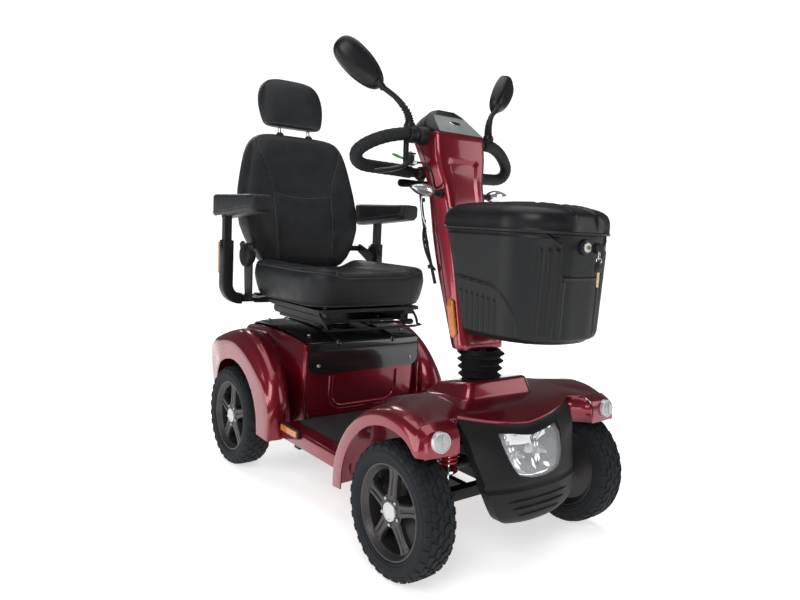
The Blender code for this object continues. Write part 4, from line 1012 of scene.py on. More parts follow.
def make_battery_cover():
    """Gloss black lid over the batteries, with a front apron, raised bands and corner screws."""
    path = profile_path(COVER, 5)
    rows = []
    for y, z in path:
        drop = max(0.0, (0.372 - z) / 0.024)
        half = 0.2120 - 0.024 * drop ** 2
        row = []
        for i in range(21):
            t = 2 * i / 20 - 1
            row.append((half * t, y + 0.004 * abs(t) ** 8, z - 0.007 * abs(t) ** 8 * (y > 0.65)))
        rows.append(row)
    cover = piece("battery_lid", skin(rows), "chassis", GLOSS, 50, ("battery_cover",),
                  wall=0.003)
    carve(cover, turned((0, SEAT_POST_Y, 0.42), UP, [(0, 0.040), (0.1, 0.040)], 36))
    soften(cover, 0.0012)
    bands = bmesh.new()
    for x in (-0.105, 0.105):
        path_band = [(x, y, z + 0.0005) for y, z in path[10:-8]]
        sweep(path_band, [0.001] + [0.0085] * (len(path_band) - 2) + [0.001], 12, bands, 0.55)
    piece("battery_bands", bands, "chassis", GLOSS)
    screws = bmesh.new()
    for x in (-0.180, 0.180):
        turned((x, 0.6340, 0.376), FORWARD, SCREW, 16, screws)
        for y in (0.700, 0.990):
            turned((x, y, table(COVER, y)[1] - 0.001), UP, SCREW, 16, screws)
    piece("battery_screws", screws, "chassis", STEEL)
    collar = turned((0, SEAT_POST_Y, 0.468), UP, [(0, 0.0405), (0.008, 0.0405), (0.012, 0.037),
                                                  (0.012, 0.0335), (0, 0.0325)], 40, hollow=True)
    piece("post_collar", collar, "chassis", RUBBER)


# ------------------------------------------------------------------ tiller
# the red column cover: (z, half width, front y, rear y)
SHROUD = [(0.515, 0.0750, 0.066, 0.122), (0.530, 0.0752, 0.0675, 0.130), (0.600, 0.0740, 0.086, 0.158),
          (0.700, 0.0720, 0.110, 0.200), (0.800, 0.0700, 0.136, 0.236), (0.900, 0.0690, 0.162, 0.258),
          (0.950, 0.0720, 0.178, 0.268), (0.985, 0.0820, 0.189, 0.276), (1.030, 0.0885, 0.197, 0.296),
          (1.088, 0.0880, 0.206, 0.335)]


def shroud_ring(z, steps=10):
    """Section of the red column cover: flat front with a sunken middle panel, rounded corners."""
    _, half, front, rear = table(SHROUD, z)
    depth = rear - front
    corner = min(0.018, 0.3 * depth)
    flare = min(1.0, max(0.0, (z - 0.93) / 0.10))
    sunk = 0.0065 * min(1.0, max(0.0, (1.020 - z) / 0.012)) * min(1.0, max(0.0, (z - 0.54) / 0.03))
    points = []
    for t in range(-8, 9):
        u = t / 8
        inner = min(1.0, max(0.0, (0.74 - abs(u)) / 0.10))
        points.append((u * (half - corner), front + sunk * inner - 0.004 * flare * (1 - u * u)))
    for a in range(-75, 1, 15):
        points.append((half - corner + corner * math.cos(math.radians(a)),
                       front + corner + corner * math.sin(math.radians(a))))
    for t in range(1, steps):
        y = between(front + corner, rear - corner, t / steps)
        bulge = 0.0035 * math.sin(math.pi * t / steps)
        points.append((half + bulge, y))
    for a in range(0, 91, 15):
        points.append((half - corner + corner * math.cos(math.radians(a)),
                       rear - corner + corner * math.sin(math.radians(a))))
    for t in range(7, 0, -1):
        points.append((half * t / 8 * 0.9, rear))
    across_front = 17
    return [(x, y, z) for x, y in points] + [(-x, y, z) for x, y in points[:across_front - 1:-1]]


def make_shroud():
    heights = [0.515, 0.518, 0.530, 0.540, 0.555, 0.570, 0.600, 0.640, 0.700, 0.760, 0.820, 0.880, 0.920,
               0.945, 0.960, 0.975, 0.990, 1.003, 1.008, 1.020, 1.024, 1.045, 1.070, 1.084, 1.088]
    rings = []
    for z in heights:
        ring = shroud_ring(z)
        if z in (0.515, 1.088):
            ring = [(x * 0.975, between(y, 0.105 if z < 0.6 else 0.26, 0.03), z) for x, y, _ in ring]
        rings.append(ring)
    shroud = piece("tiller_cover", loft(rings), "tiller", PAINT, 34, ("tiller_shroud",))
    soften(shroud, 0.0016)
    seams = bmesh.new()
    share = 0.62
    bulge = 0.0035 * math.sin(math.pi * share) - 0.0002
    for side in (1, -1):
        path = []
        for z in heights[1:-1]:
            _, half, front, rear = table(SHROUD, z)
            path.append((side * (half + bulge), between(front, rear, share), z))
        sweep(path, 0.0012, 8, seams)
    piece("tiller_seams", seams, "tiller", BLACK)


def make_tiller_reflectors():
    """Long amber reflector low on each side of the tiller, domed across its face."""
    low, high = Vector((0, 0.1035, 0.546)), Vector((0, 0.1280, 0.646))
    across = (high - low).cross(Vector((1, 0, 0))).normalized()
    reach = (high - low).length / 2
    outline = rounded(-0.0125, 0.0125, -reach, reach, 0.0122, 0.0122, 6)
    for side_name, side in SIDES:
        rows = []
        for grow, proud in ((1.0, 0.0005), (1.0, 0.0042), (0.93, 0.0060), (0.5, 0.0066), (0.02, 0.0068)):
            row = []
            for u, v in outline:
                spot = (low + high) / 2 + (high - low).normalized() * v * grow + across * u * grow
                row.append((side * (table(SHROUD, spot.z)[1] + 0.0022 + proud), spot.y, spot.z))
            rows.append(row)
        piece(f"tiller_reflector_{side_name}", loft(rows), "tiller", AMBER, 50)


def make_bellows():
    """Ribbed rubber boot between the column and the tiller."""
    profile = []
    low, high, count = 0.4345, 0.5145, 4
    pitch = (high - low) / count
    for i in range(count):
        base = low + i * pitch
        size = 0.0585 + 0.0022 * i
        root = size - 0.0115
        for share, radius in ((0.02, root), (0.08, root), (0.30, between(root, size, 0.52)),
                              (0.46, size - 0.0008), (0.50, size), (0.54, size - 0.0008),
                              (0.70, between(root, size, 0.52)), (0.92, root)):
            profile.append((base + share * pitch, radius))
    foot = [(low - 0.016, 0.046), (low - 0.016, 0.0500)]
    bm = turned((0, COLUMN_Y, 0), UP, foot + profile + [(high, 0.0530), (high, 0.044)], 64, hollow=True)
    boot = piece("bellows", bm, None, RUBBER, 50, ("column_bellows",))
    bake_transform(boot)


# ------------------------------------------------------------------ console pod
# the pod: (z, front half width, front y, side half width, y where the side starts, rear y)
POD = [(1.0885, 0.0775, 0.2065, 0.0905, 0.248, 0.3365), (1.0910, 0.0785, 0.2080, 0.0912, 0.250, 0.3362),
       (1.1100, 0.0715, 0.2310, 0.0855, 0.262, 0.3250), (1.1280, 0.0635, 0.2520, 0.0755, 0.272, 0.3120),
       (1.1410, 0.0575, 0.2670, 0.0650, 0.279, 0.3020), (1.1470, 0.0520, 0.2730, 0.0585, 0.282, 0.2980),
       (1.1530, 0.0420, 0.2780, 0.0480, 0.284, 0.2940), (1.1580, 0.0250, 0.2820, 0.0290, 0.285, 0.2900)]


def pod_ring(z):
    """Section of the pod: a narrow front face, splayed cheeks and a flat rear, leaning back as they rise."""
    _, front_half, front, side_half, side_y, rear = table(POD, z)
    right = [(front_half * t / 4, front - 0.002 * (1 - (t / 4) ** 2)) for t in range(5)]
    right += [(between(front_half, side_half, t / 4), between(front, side_y, t / 4)) for t in range(1, 5)]
    right += [(side_half - 0.002 * t / 4, between(side_y, rear - 0.012, t / 4)) for t in range(1, 5)]
    right += [(side_half - 0.006, rear - 0.004), (side_half - 0.013, rear)]
    right += [((side_half - 0.013) * (4 - t) / 4, rear) for t in range(1, 5)]
    return [(x, y, z) for x, y in right + [(-x, y) for x, y in right[-2:0:-1]]]


def make_pod():
    """Black pod, the grey plate on its front, and a rubber collar where each grip leaves it."""
    heights = [1.0885, 1.0900, 1.0985, 1.110, 1.119, 1.128, 1.137, 1.1435, 1.147, 1.150, 1.153, 1.1555,
               1.158]
    body = piece("pod_body", loft([pod_ring(z) for z in heights]), "tiller", SATIN, 34,
                 ("console_pod",))
    soften(body, 0.0016)

    rows = []
    for z in (1.0905, 1.0925, 1.101, 1.110, 1.119, 1.128, 1.136, 1.1395, 1.1410):
        _, half, front = table(POD, z)[:3]
        trim = 0.0035 if z in (1.0905, 1.1410) else 0.0008
        row = []
        for i in range(-8, 9):
            x = (half - trim) * i / 8
            row.append((x, front - 0.002 * (1 - (x / half) ** 2) - 0.0012, z))
        rows.append(row)
    face = piece("pod_face", skin(rows), "tiller", GREY, 40, wall=0.0022)
    soften(face, 0.0006)

    for side_name, side in SIDES:
        collar = turned((side * 0.083, 0.256, 1.077), (side, 0.08, -0.05),
                        [(0, 0.0230), (0.004, 0.0245), (0.012, 0.0250), (0.024, 0.0240), (0.030, 0.0215),
                         (0.033, 0.0175)], 32)
        piece(f"pod_collar_{side_name}", collar, "tiller", RUBBER)


def make_pod_boss():
    """Plain oval boss in a chrome rim, set on the grey plate."""
    out = Vector((0, -0.640, 0.768))
    up = Vector((0, 0.768, 0.640))
    middle = Vector((0, 0.2385, 1.1200))
    for name, material, slot, wide, tall, low, high in (
            ("pod_boss_rim", CHROME, "chrome", 0.0185, 0.0085, -0.001, 0.0018),
            ("pod_boss", SATIN, "gloss_black", 0.0165, 0.0068, 0.0, 0.0024)):
        rings = []
        for proud, shrink in ((low, 0.0), (high - 0.0006, 0.0), (high, 0.0008)):
            rings.append([middle + out * proud + Vector((wide - shrink, 0, 0)) * math.cos(a) + up
                          * (tall - shrink) * math.sin(a) for a in [math.tau * i / 40 for i in range(40)]])
        piece(name, loft(rings), "tiller", material, 40)


CONSOLE_UP = Vector((0, -0.526, 0.850))
CONSOLE_OUT = Vector((0, 0.850, 0.526))


def face_point(u, v, proud=0.0):
    """A point on the rider's side of the console, u across and v up its slope."""
    return Vector((u, 0.3175, 1.117)) + CONSOLE_UP * v + CONSOLE_OUT * proud


def face_disc(u, v, profile, steps=32, bm=None):
    return turned(face_point(u, v), CONSOLE_OUT, profile, steps, bm)


def make_console():
    panel = [[face_point(u * (0.066 - 0.010 * (v > 0.5)), v * 0.030 - 0.001, depth) for u, v in
              ((-1, -0.7), (-0.9, -0.85), (0.9, -0.85), (1, -0.7), (0.92, 0.7), (0.80, 0.86), (-0.80, 0.86),
               (-0.92, 0.7))] for depth in (-0.006, 0.0030, 0.0040)]
    piece("console_face", loft(panel), "tiller", BLACK, bevel=0.001)
    knob = face_disc(0, 0, [(0.0045, 0.0160), (0.008, 0.0160), (0.0095, 0.0130), (0.0140, 0.0120),
                            (0.0155, 0.0105), (0.0150, 0.004), (0.0148, 0.001)], 40)
    for i in range(12):
        angle = math.radians(30 * i)
        spot = face_point(0.0128 * math.cos(angle), 0.0128 * math.sin(angle), 0.0095)
        turned(spot, CONSOLE_OUT, [(0, 0.0012), (0.0042, 0.0011), (0.0048, 0.0005)], 8, knob)
    piece("knob_cap", knob, "speed_knob", SATIN, replaces=("speed_knob",))
    mark = bmesh.new()
    sweep([face_point(0, 0.003, 0.0156), face_point(0, 0.0105, 0.0157)], 0.0008, 8, mark)
    piece("knob_mark", mark, "speed_knob", CABLE_WHITE)
    ticks = bmesh.new()
    for i in range(9):
        angle = math.radians(-45 + i * 270 / 8)
        sweep([face_point(0.0185 * math.cos(angle), 0.0185 * math.sin(angle), 0.0041),
               face_point(0.0215 * math.cos(angle), 0.0215 * math.sin(angle), 0.0041)], 0.0005, 6, ticks)
    piece("dial_ticks", ticks, "tiller", CABLE_WHITE)
    key = face_disc(-0.045, 0, [(0.0042, 0.0075), (0.0075, 0.0075), (0.0085, 0.0060), (0.0085, 0.0030)], 24)
    loft([[face_point(-0.045 + u, v * w, d) for v, d in ((-0.004, 0.008), (-0.0085, 0.013),
                                                         (-0.0085, 0.019), (-0.004, 0.022), (0.004, 0.022),
                                                         (0.0085, 0.019), (0.0085, 0.013), (0.004, 0.008))]
          for u, w in ((-0.0014, 0.9), (-0.0009, 1.0), (0.0009, 1.0), (0.0014, 0.9))], key)
    piece("key_head", key, "ignition_key", CHROME, replaces=("ignition_key",))
    horn = face_disc(0.045, 0, [(0.0060, 0.0078), (0.0078, 0.0076), (0.0088, 0.0060), (0.0092, 0.002)], 28)
    piece("horn_cap", horn, "horn_button", AMBER, replaces=("horn_button",))
    rims = bmesh.new()
    for u, radius in ((0.045, 0.0098), (-0.045, 0.0095), (0.0, 0.0178)):
        face_disc(u, 0, [(0.003, radius + 0.0012), (0.0052, radius + 0.0006), (0.0056, radius - 0.0004),
                         (0.0038, radius - 0.0010)], 32, rims)
    piece("console_rims", rims, "tiller", STEEL)


# ------------------------------------------------------------------ handlebar and controls
LOOP = [(0.125, 0.256, 1.077), (0.160, 0.259, 1.075), (0.205, 0.274, 1.064), (0.245, 0.292, 1.045),
        (0.2705, 0.306, 1.022), (0.268, 0.314, 1.000), (0.245, 0.316, 0.988), (0.200, 0.312, 0.985),
        (0.150, 0.304, 0.983), (0.101, 0.296, 0.980)]


def make_handlebar():
    """Foam-covered loops in place of the plain bar, with a smooth end cap and a seam ring at the pod."""
    for side_name, side in SIDES:
        path = curve_through([(side * x, y, z) for x, y, z in LOOP], 9)
        radii = []
        for i in range(len(path)):
            swell = 0.0004 * math.sin(i * 1.9) if 3 < i < len(path) - 4 else 0.0
            radii.append(0.0172 + swell)
        radii[0] = radii[1] = 0.0160
        radii[-1] = 0.0150
        bm = sweep(path, radii, 28)
        replaced = ("handlebar",) if side == 1 else ()
        piece(f"grip_{side_name}", bm, "tiller", FOAM, 60, replaced)
        joint = bmesh.new()
        end = path[-1]
        sweep([end, end + (end - path[-3]).normalized() * 0.012, Vector((side * 0.075, 0.288, 0.976))],
              [0.0135, 0.0130, 0.0120], 22, joint)
        turned((side * 0.066, 0.290, 0.978), (side, 0.05, 0.03),
               [(0, 0.0200), (0.010, 0.0200), (0.016, 0.0175), (0.020, 0.0145)], 30, joint)
        piece(f"grip_end_{side_name}", joint, "tiller", SATIN)


# one throttle paddle, from the hub outwards: (x, y, z, half height, half thickness)
PADDLE = [(0.020, 0.3000, 0.953, 0.0070, 0.0050), (0.045, 0.3060, 0.9525, 0.0078, 0.0046),
          (0.065, 0.3165, 0.9515, 0.0090, 0.0042), (0.100, 0.3190, 0.9505, 0.0110, 0.0040),
          (0.118, 0.3195, 0.9500, 0.0108, 0.0036), (0.126, 0.3190, 0.9500, 0.0080, 0.0030),
          (0.1285, 0.3185, 0.9500, 0.0035, 0.0020)]


def make_throttle():
    """Wig-wag lever: a paddle to each side of a hub behind the tiller."""
    for side_name, side in SIDES:
        paddle = []
        for x, y, z, wide, thick in PADDLE:
            ring = []
            for a in range(0, 360, 20):
                c, s = math.cos(math.radians(a)), math.sin(math.radians(a))
                ring.append((side * x, y + thick * c, z + wide * s))
            paddle.append(ring)
        piece(f"throttle_paddle_{side_name}", loft(smooth_rows(paddle, 3)), "throttle", SATIN,
              60, ("throttle_lever",) if side == 1 else ())
    hub = turned((0, 0.272, 0.953), (0, 1, 0), [(0, 0.0135), (0.020, 0.0135), (0.024, 0.0125),
                                                (0.034, 0.0120), (0.037, 0.0100), (0.038, 0.004)], 30)
    box((0, 0.3000, 0.953), (0.046, 0.011, 0.015), hub)
    piece("throttle_hub", hub, "throttle", SATIN, bevel=0.0012)


def make_brake():
    """Folded lever with its pivot bracket, green parking catch and cable nut."""
    blade = curve_through([(-0.140, 0.250, 1.010), (-0.165, 0.248, 0.990), (-0.200, 0.252, 0.978),
                           (-0.238, 0.262, 0.972), (-0.246, 0.266, 0.971)], 6)
    radii = along_route([0.0080, 0.0105, 0.0130, 0.0125, 0.0105, 0.0070], len(blade))
    radii[-1] = 0.003
    lever = sweep(blade, radii, 20, flat=0.50)
    turned((-0.140, 0.250, 0.9995), UP, [(0, 0.0112), (0.021, 0.0112)], 28, lever)
    piece("lever_blade", lever, "brake", SATIN, replaces=("brake_lever",), bevel=0.0008)

    bracket = bmesh.new()
    for z in (0.9955, 1.0245):
        outline = [(-0.152, 0.240), (-0.132, 0.236), (-0.126, 0.262), (-0.150, 0.266)]
        plate(outline, "z", z - 0.0022, z + 0.0022, bracket)
    turned((-0.146, 0.262, 0.992), (0.05, 0.1, 1), [(0, 0.0075), (0.085, 0.0075)], 20, bracket)
    turned((-0.135, 0.257, 1.077), (1, 0, 0), [(-0.014, 0.0225), (-0.012, 0.0240), (0.012, 0.0240),
                                               (0.014, 0.0225)], 32, bracket)
    piece("brake_bracket", bracket, "tiller", POWDER, bevel=0.0008)
    bolts = turned((-0.140, 0.250, 0.991), UP, [(0, 0.0055), (0.0335, 0.0055), (0.0385, 0.0050),
                                                       (0.0400, 0.0030)], 6)
    turned((-0.139, 0.232, 1.000), FORWARD, [(0, 0.0052), (0.010, 0.0052), (0.014, 0.0035)], 16, bolts)
    piece("brake_bolts", bolts, "tiller", CAP, bevel=0.0004)
    catch = bmesh.new()
    tab = curve_through([(-0.146, 0.268, 1.012), (-0.144, 0.290, 1.016), (-0.142, 0.312, 1.022),
                         (-0.140, 0.330, 1.027)])
    sweep(tab, along_route([0.006, 0.0065, 0.0075, 0.0055], len(tab)), 16, catch, 0.5)
    piece("parking_catch", catch, "tiller", GREEN)


def make_cables():
    """Brake cable from the lever into the column, and the harness behind the right of the tiller."""
    route = [(-0.139, 0.221, 1.000), (-0.134, 0.200, 0.998), (-0.122, 0.186, 0.985), (-0.106, 0.190, 0.963),
             (-0.092, 0.202, 0.946), (-0.0755, 0.214, 0.937)]
    inner = sweep(curve_through(route, 8), 0.0029, 14)
    piece("cable_sheath", inner, "tiller", RUBBER, replaces=("brake_cable",))
    wires = bmesh.new()
    bundle = [(-0.079, 0.268, 0.958), (-0.086, 0.268, 0.930), (-0.083, 0.262, 0.880),
              (-0.080, 0.248, 0.820), (-0.079, 0.232, 0.770), (-0.078, 0.212, 0.720),
              (-0.077, 0.196, 0.680)]
    sweep(curve_through(bundle, 8), 0.0045, 14, wires)
    loop = [(-0.078, 0.252, 0.850), (-0.092, 0.240, 0.810), (-0.096, 0.222, 0.770), (-0.090, 0.204, 0.735),
            (-0.078, 0.196, 0.716)]
    sweep(curve_through(loop, 8), 0.0030, 12, wires)
    piece("tiller_harness", wires, "tiller", RUBBER)
    white = bmesh.new()
    sweep(curve_through([(-0.079, 0.262, 0.940), (-0.091, 0.256, 0.900), (-0.090, 0.248, 0.860),
                         (-0.079, 0.240, 0.826)], 8), 0.0014, 10, white)
    piece("signal_wire", white, "tiller", CABLE_WHITE)
    clips = bmesh.new()
    for z, y in ((0.905, 0.264), (0.790, 0.240), (0.725, 0.216)):
        turned((-0.080, y, z - 0.005), (0, 0.25, 1),
               [(0, 0.0062), (0.001, 0.0070), (0.009, 0.0070), (0.010, 0.0062)], 20, clips)
    piece("cable_ties", clips, "tiller", BLACK)


# ------------------------------------------------------------------ mirrors and indicators
MIRROR_JOINT = (0.205, 0.296, 1.192)
STEM = [(0.143, 0.256, 1.096), (0.144, 0.258, 1.115), (0.151, 0.265, 1.138), (0.173, 0.280, 1.168),
        MIRROR_JOINT]
MIRROR_TOE = math.radians(25)
MIRROR_RISE = math.radians(42)


def make_mirrors():
    """Ribbed sleeve on each stem, and an egg-shaped head with its glass on the rider's side."""
    for side_name, side in SIDES:
        path = curve_through([(side * x, y, z) for x, y, z in STEM], 14)
        radii = []
        for i in range(len(path)):
            share = i / (len(path) - 1)
            rib = 0.0011 * (1 if (i // 2) % 2 else -1) if 0.10 < share < 0.62 else 0.0
            radii.append(between(0.0122, 0.0074, min(1, share * 1.25)) + rib)
        stem = sweep(path, radii, 24)
        piece(f"mirror_sleeve_{side_name}", stem, f"mirror_stem_{side_name}", RUBBER, 35,
              (f"mirror_stem_{side_name}",))
        clamp = turned((side * 0.143, 0.256, 1.094), (0, 0.08, 1),
                       [(-0.006, 0.0150), (0, 0.0165), (0.006, 0.0160), (0.012, 0.0135)], 30)
        piece(f"mirror_nut_{side_name}", clamp, f"mirror_stem_{side_name}", SATIN)

        joint = Vector((side * MIRROR_JOINT[0], *MIRROR_JOINT[1:]))
        flat = Vector((side * math.cos(MIRROR_TOE), math.sin(MIRROR_TOE), 0))
        back = Vector((-side * math.sin(MIRROR_TOE), math.cos(MIRROR_TOE), 0))
        along = flat * math.cos(MIRROR_RISE) + Vector((0, 0, math.sin(MIRROR_RISE)))
        across = Vector((0, 0, math.cos(MIRROR_RISE))) - flat * math.sin(MIRROR_RISE)
        centre = joint + 0.086 * along + 0.010 * back

        def head_ring(scale, depth, wide=0.0800, tall=0.0400):
            ring = []
            for i in range(56):
                angle = 2 * math.pi * i / 56
                c, s = math.cos(angle), math.sin(angle)
                u = wide * scale * math.copysign(abs(c) ** 0.78, c)
                egg = 1.0 + (0.04 * c if c > 0 else 0.24 * c)
                v = tall * scale * egg * math.copysign(abs(s) ** 0.74, s)
                ring.append(centre + along * u + across * v + back * depth)
            return ring
        shell = [head_ring(s, d) for s, d in ((0.93, 0.0095), (0.985, 0.0120), (1.0, 0.0095), (1.0, 0.004),
                                              (0.975, -0.006), (0.90, -0.0140), (0.74, -0.0200),
                                              (0.50, -0.0232), (0.24, -0.0244), (0.04, -0.0246))]
        piece(f"mirror_shell_{side_name}", loft(smooth_rows(shell, 2)), f"mirror_head_{side_name}", SATIN,
              60, (f"mirror_head_{side_name}",))
        glass = [head_ring(s, d) for s, d in ((0.935, 0.0085), (0.935, 0.0112), (0.60, 0.0116),
                                              (0.02, 0.0118))]
        piece(f"mirror_face_{side_name}", loft(glass), f"mirror_head_{side_name}", MIRROR, 60)
        neck = sweep([joint - along * 0.004 + Vector((0, 0.001, -0.001)), joint + along * 0.010,
                      joint + along * 0.026 - back * 0.004], [0.0088, 0.0098, 0.0118], 22)
        piece(f"mirror_neck_{side_name}", neck, f"mirror_head_{side_name}", SATIN)


def make_indicators():
    """Slim pointed indicator on a rubber stalk at each side of the tiller."""
    for side_name, side in SIDES:
        base = Vector((side * 0.0735, 0.196, 0.923))
        axis = Vector((side, 0, 0.08)).normalized()
        stalk = turned(base, axis, [(0.0, 0.0118), (0.004, 0.0118), (0.006, 0.0085), (0.011, 0.0072),
                                    (0.014, 0.0080), (0.017, 0.0072), (0.022, 0.0075), (0.027, 0.0092),
                                    (0.031, 0.0105)], 26)
        piece(f"indicator_stalk_{side_name}", stalk, "tiller", RUBBER, 40,
              (f"indicator_{side_name}",))
        up = axis.cross(Vector((0, 1, 0))).normalized()
        if up.z < 0:
            up = -up

        def leaf(spread_y, spread_z, low, high, shift):
            rings = []
            for i in range(15):
                t = i / 14
                d = between(low, high, t)
                size = math.sin(math.pi * (0.10 + 0.86 * t) ** 0.82) ** 0.75
                point = base + axis * d + Vector((0, shift, 0)) + up * 0.004 * t
                ring = []
                for a in range(0, 360, 15):
                    c, s = math.cos(math.radians(a)), math.sin(math.radians(a))
                    ring.append(point + Vector((0, spread_y * size * c, 0)) + up * spread_z * size * s)
                rings.append(ring)
            return loft(rings)
        piece(f"indicator_housing_{side_name}", leaf(0.0125, 0.0165, 0.026, 0.101, 0.004), "tiller", SATIN,
              60)
        piece(f"indicator_chrome_{side_name}", leaf(0.0105, 0.0148, 0.030, 0.0975, -0.0015), "tiller",
              CHROME, 60)
        piece(f"indicator_lens_{side_name}", leaf(0.0130, 0.0158, 0.028, 0.099, -0.0030), "tiller", CLEAR,
              60)


# ------------------------------------------------------------------ storage box
# the storage box: (z, half width, front y, rear y)
BOX_SIZES = [(0.578, 0.144, -0.239, 0.002), (0.592, 0.149, -0.244, 0.006), (0.835, 0.160, -0.250, 0.072)]
BOX_CORNER = 0.125
BOX_REAR_CORNER = 0.026
BOX_RIM_REAR = 0.072
RIB_STEP = 0.0195
RIB_HEIGHT = 0.0030


def bell(distance, width):
    """1 at the middle, falling smoothly to 0 at the given width."""
    share = min(1.0, abs(distance) / width)
    return 0.5 + 0.5 * math.cos(math.pi * share)


def ease(value, low, high):
    t = min(1.0, max(0.0, (value - low) / (high - low)))
    return t * t * (3 - 2 * t)


def box_columns():
    """Stations round one half of the box, as (kind, share), from the rear middle to the front middle."""
    stations = [("rear", i / 4) for i in range(4)] + [("back_corner", i / 5) for i in range(5)]
    stations += [("side", i / 84) for i in range(84)] + [("corner", i / 84) for i in range(84)]
    return stations + [("front", i / 14) for i in range(15)]


def box_spot(kind, share, half, front, rear):
    """Point, outward direction, distance from the rear corner, and distance from the front middle."""
    small = BOX_REAR_CORNER
    side_length = rear - front - small - BOX_CORNER
    flat = half - BOX_CORNER
    quarter = BOX_CORNER * math.pi / 2
    bend = BOX_RIM_REAR - front - BOX_CORNER
    if kind == "rear":
        return (share * (half - small), rear), (0, 1), -1.0, 1.0
    if kind == "back_corner":
        a = math.radians(90 * (1 - share))
        spot = (half - small + small * math.cos(a), rear - small + small * math.sin(a))
        return spot, (math.cos(a), math.sin(a)), -1.0, 1.0
    if kind == "side":
        y = rear - small - share * side_length
        return (half, y), (1, 0), BOX_RIM_REAR - y, flat + quarter + (1 - share) * side_length
    if kind == "corner":
        a = math.radians(-90 * share)
        spot = (half - BOX_CORNER + BOX_CORNER * math.cos(a), front + BOX_CORNER + BOX_CORNER * math.sin(a))
        return spot, (math.cos(a), math.sin(a)), bend + share * quarter, flat + (1 - share) * quarter
    return (flat * (1 - share), front), (0, -1), bend + quarter + share * flat, flat * (1 - share)


# the ledge that runs down each side: (distance from the rear corner, z)
LEDGE = [(0.0, 0.722), (0.02, 0.720), (0.17, 0.7065), (0.195, 0.699), (0.213, 0.685), (0.230, 0.666),
         (0.245, 0.640), (0.254, 0.610), (0.262, 0.560)]


def box_relief(from_rear, from_front, z):
    """Ledge, side ribs, corner ribs and the sunken lock panel, as a height above the plain wall."""
    if from_rear < 0:
        return 0.0
    height = 0.0
    if from_rear < 0.262:
        line = table(LEDGE, from_rear)[1]
        below = ease(line - z, -0.002, 0.004)
        height -= 0.0030 * below * (1 - ease(from_rear, 0.244, 0.262))
        height += 0.0020 * bell(line - z + 0.002, 0.0055)
    for k in range(7):
        centre = BOX_RIM_REAR + RIB_STEP * k
        top = 0.688 - 0.0022 * k
        rib = bell(from_rear - centre, 0.0075) * ease(top - z, -0.002, 0.006)
        height += RIB_HEIGHT * rib * ease(z, 0.586, 0.596)
    for k in range(4):
        centre = 0.062 + 0.0205 * k
        top = 0.732 if k == 0 else 0.800
        rib = bell(from_front - centre, 0.0080) * ease(top - z, -0.002, 0.007)
        height += RIB_HEIGHT * rib * ease(z, 0.590, 0.604)
    beyond = max(0.0, from_front - 0.058)
    corner = math.hypot(beyond, max(0.0, 0.750 - z))
    flare = max(0.0, 0.016 - (0.824 - z)) if z > 0.808 else 0.0
    edge = 0.014 + 1.6 * flare
    height -= 0.0030 * ease(edge - corner, -0.002, 0.002)
    height += 0.0018 * bell(edge - corner + 0.002, 0.0050)
    return height - 0.0020 * ease(z, 0.823, 0.827) * ease(from_front, 0.075, 0.085)


def make_box():
    """Walls with their moulded relief, and the brackets that hold the box to the tiller."""
    heights = [0.5780, 0.5800, 0.5830, 0.5870, 0.5910] + [0.594 + 0.0026 * i for i in range(92)] + [0.835]
    stations = box_columns()
    rings = []
    for z in heights:
        _, half, front, rear = table(BOX_SIZES, z)
        lift = 0.011 * (1 - ease(z, 0.578, 0.591))
        ring = []
        for kind, share in stations:
            spot, out, from_rear, from_front = box_spot(kind, share, half - lift, front + lift,
                                                        rear - lift * 0.3)
            high = box_relief(from_rear, from_front, z)
            ring.append((spot[0] + out[0] * high, spot[1] + out[1] * high, z))
        rings.append(ring + [(-x, y, z) for x, y, z in ring[-2:0:-1]])
    wall = skin(rings, closed_rows=True)
    wall.faces.new(list(wall.verts)[:len(rings[0])])
    piece("box_wall", wall, "tiller", BLACK, 50, ("box_body",), wall=0.004)

    brackets = bmesh.new()
    for z in (0.640, 0.780):
        _, half, front, rear = table(BOX_SIZES, z)
        shroud_front = table(SHROUD, z)[2]
        plate(rounded(-0.052, 0.052, z - 0.014, z + 0.014, 0.004, 0.004, 3), "y", rear - 0.001,
              rear + 0.004, brackets)
        for x in (-0.035, 0.035):
            box((x, (rear + shroud_front) / 2 + 0.003, z), (0.022, shroud_front - rear + 0.010, 0.018),
                brackets)
    piece("box_brackets", brackets, "tiller", POWDER, bevel=0.001)


HINGE = [(0, 0.0048), (0.014, 0.0048), (0.0142, 0.0040), (0.0155, 0.0040), (0.0157, 0.0048),
         (0.029, 0.0048), (0.0292, 0.0040), (0.0305, 0.0040), (0.0307, 0.0048), (0.044, 0.0048)]


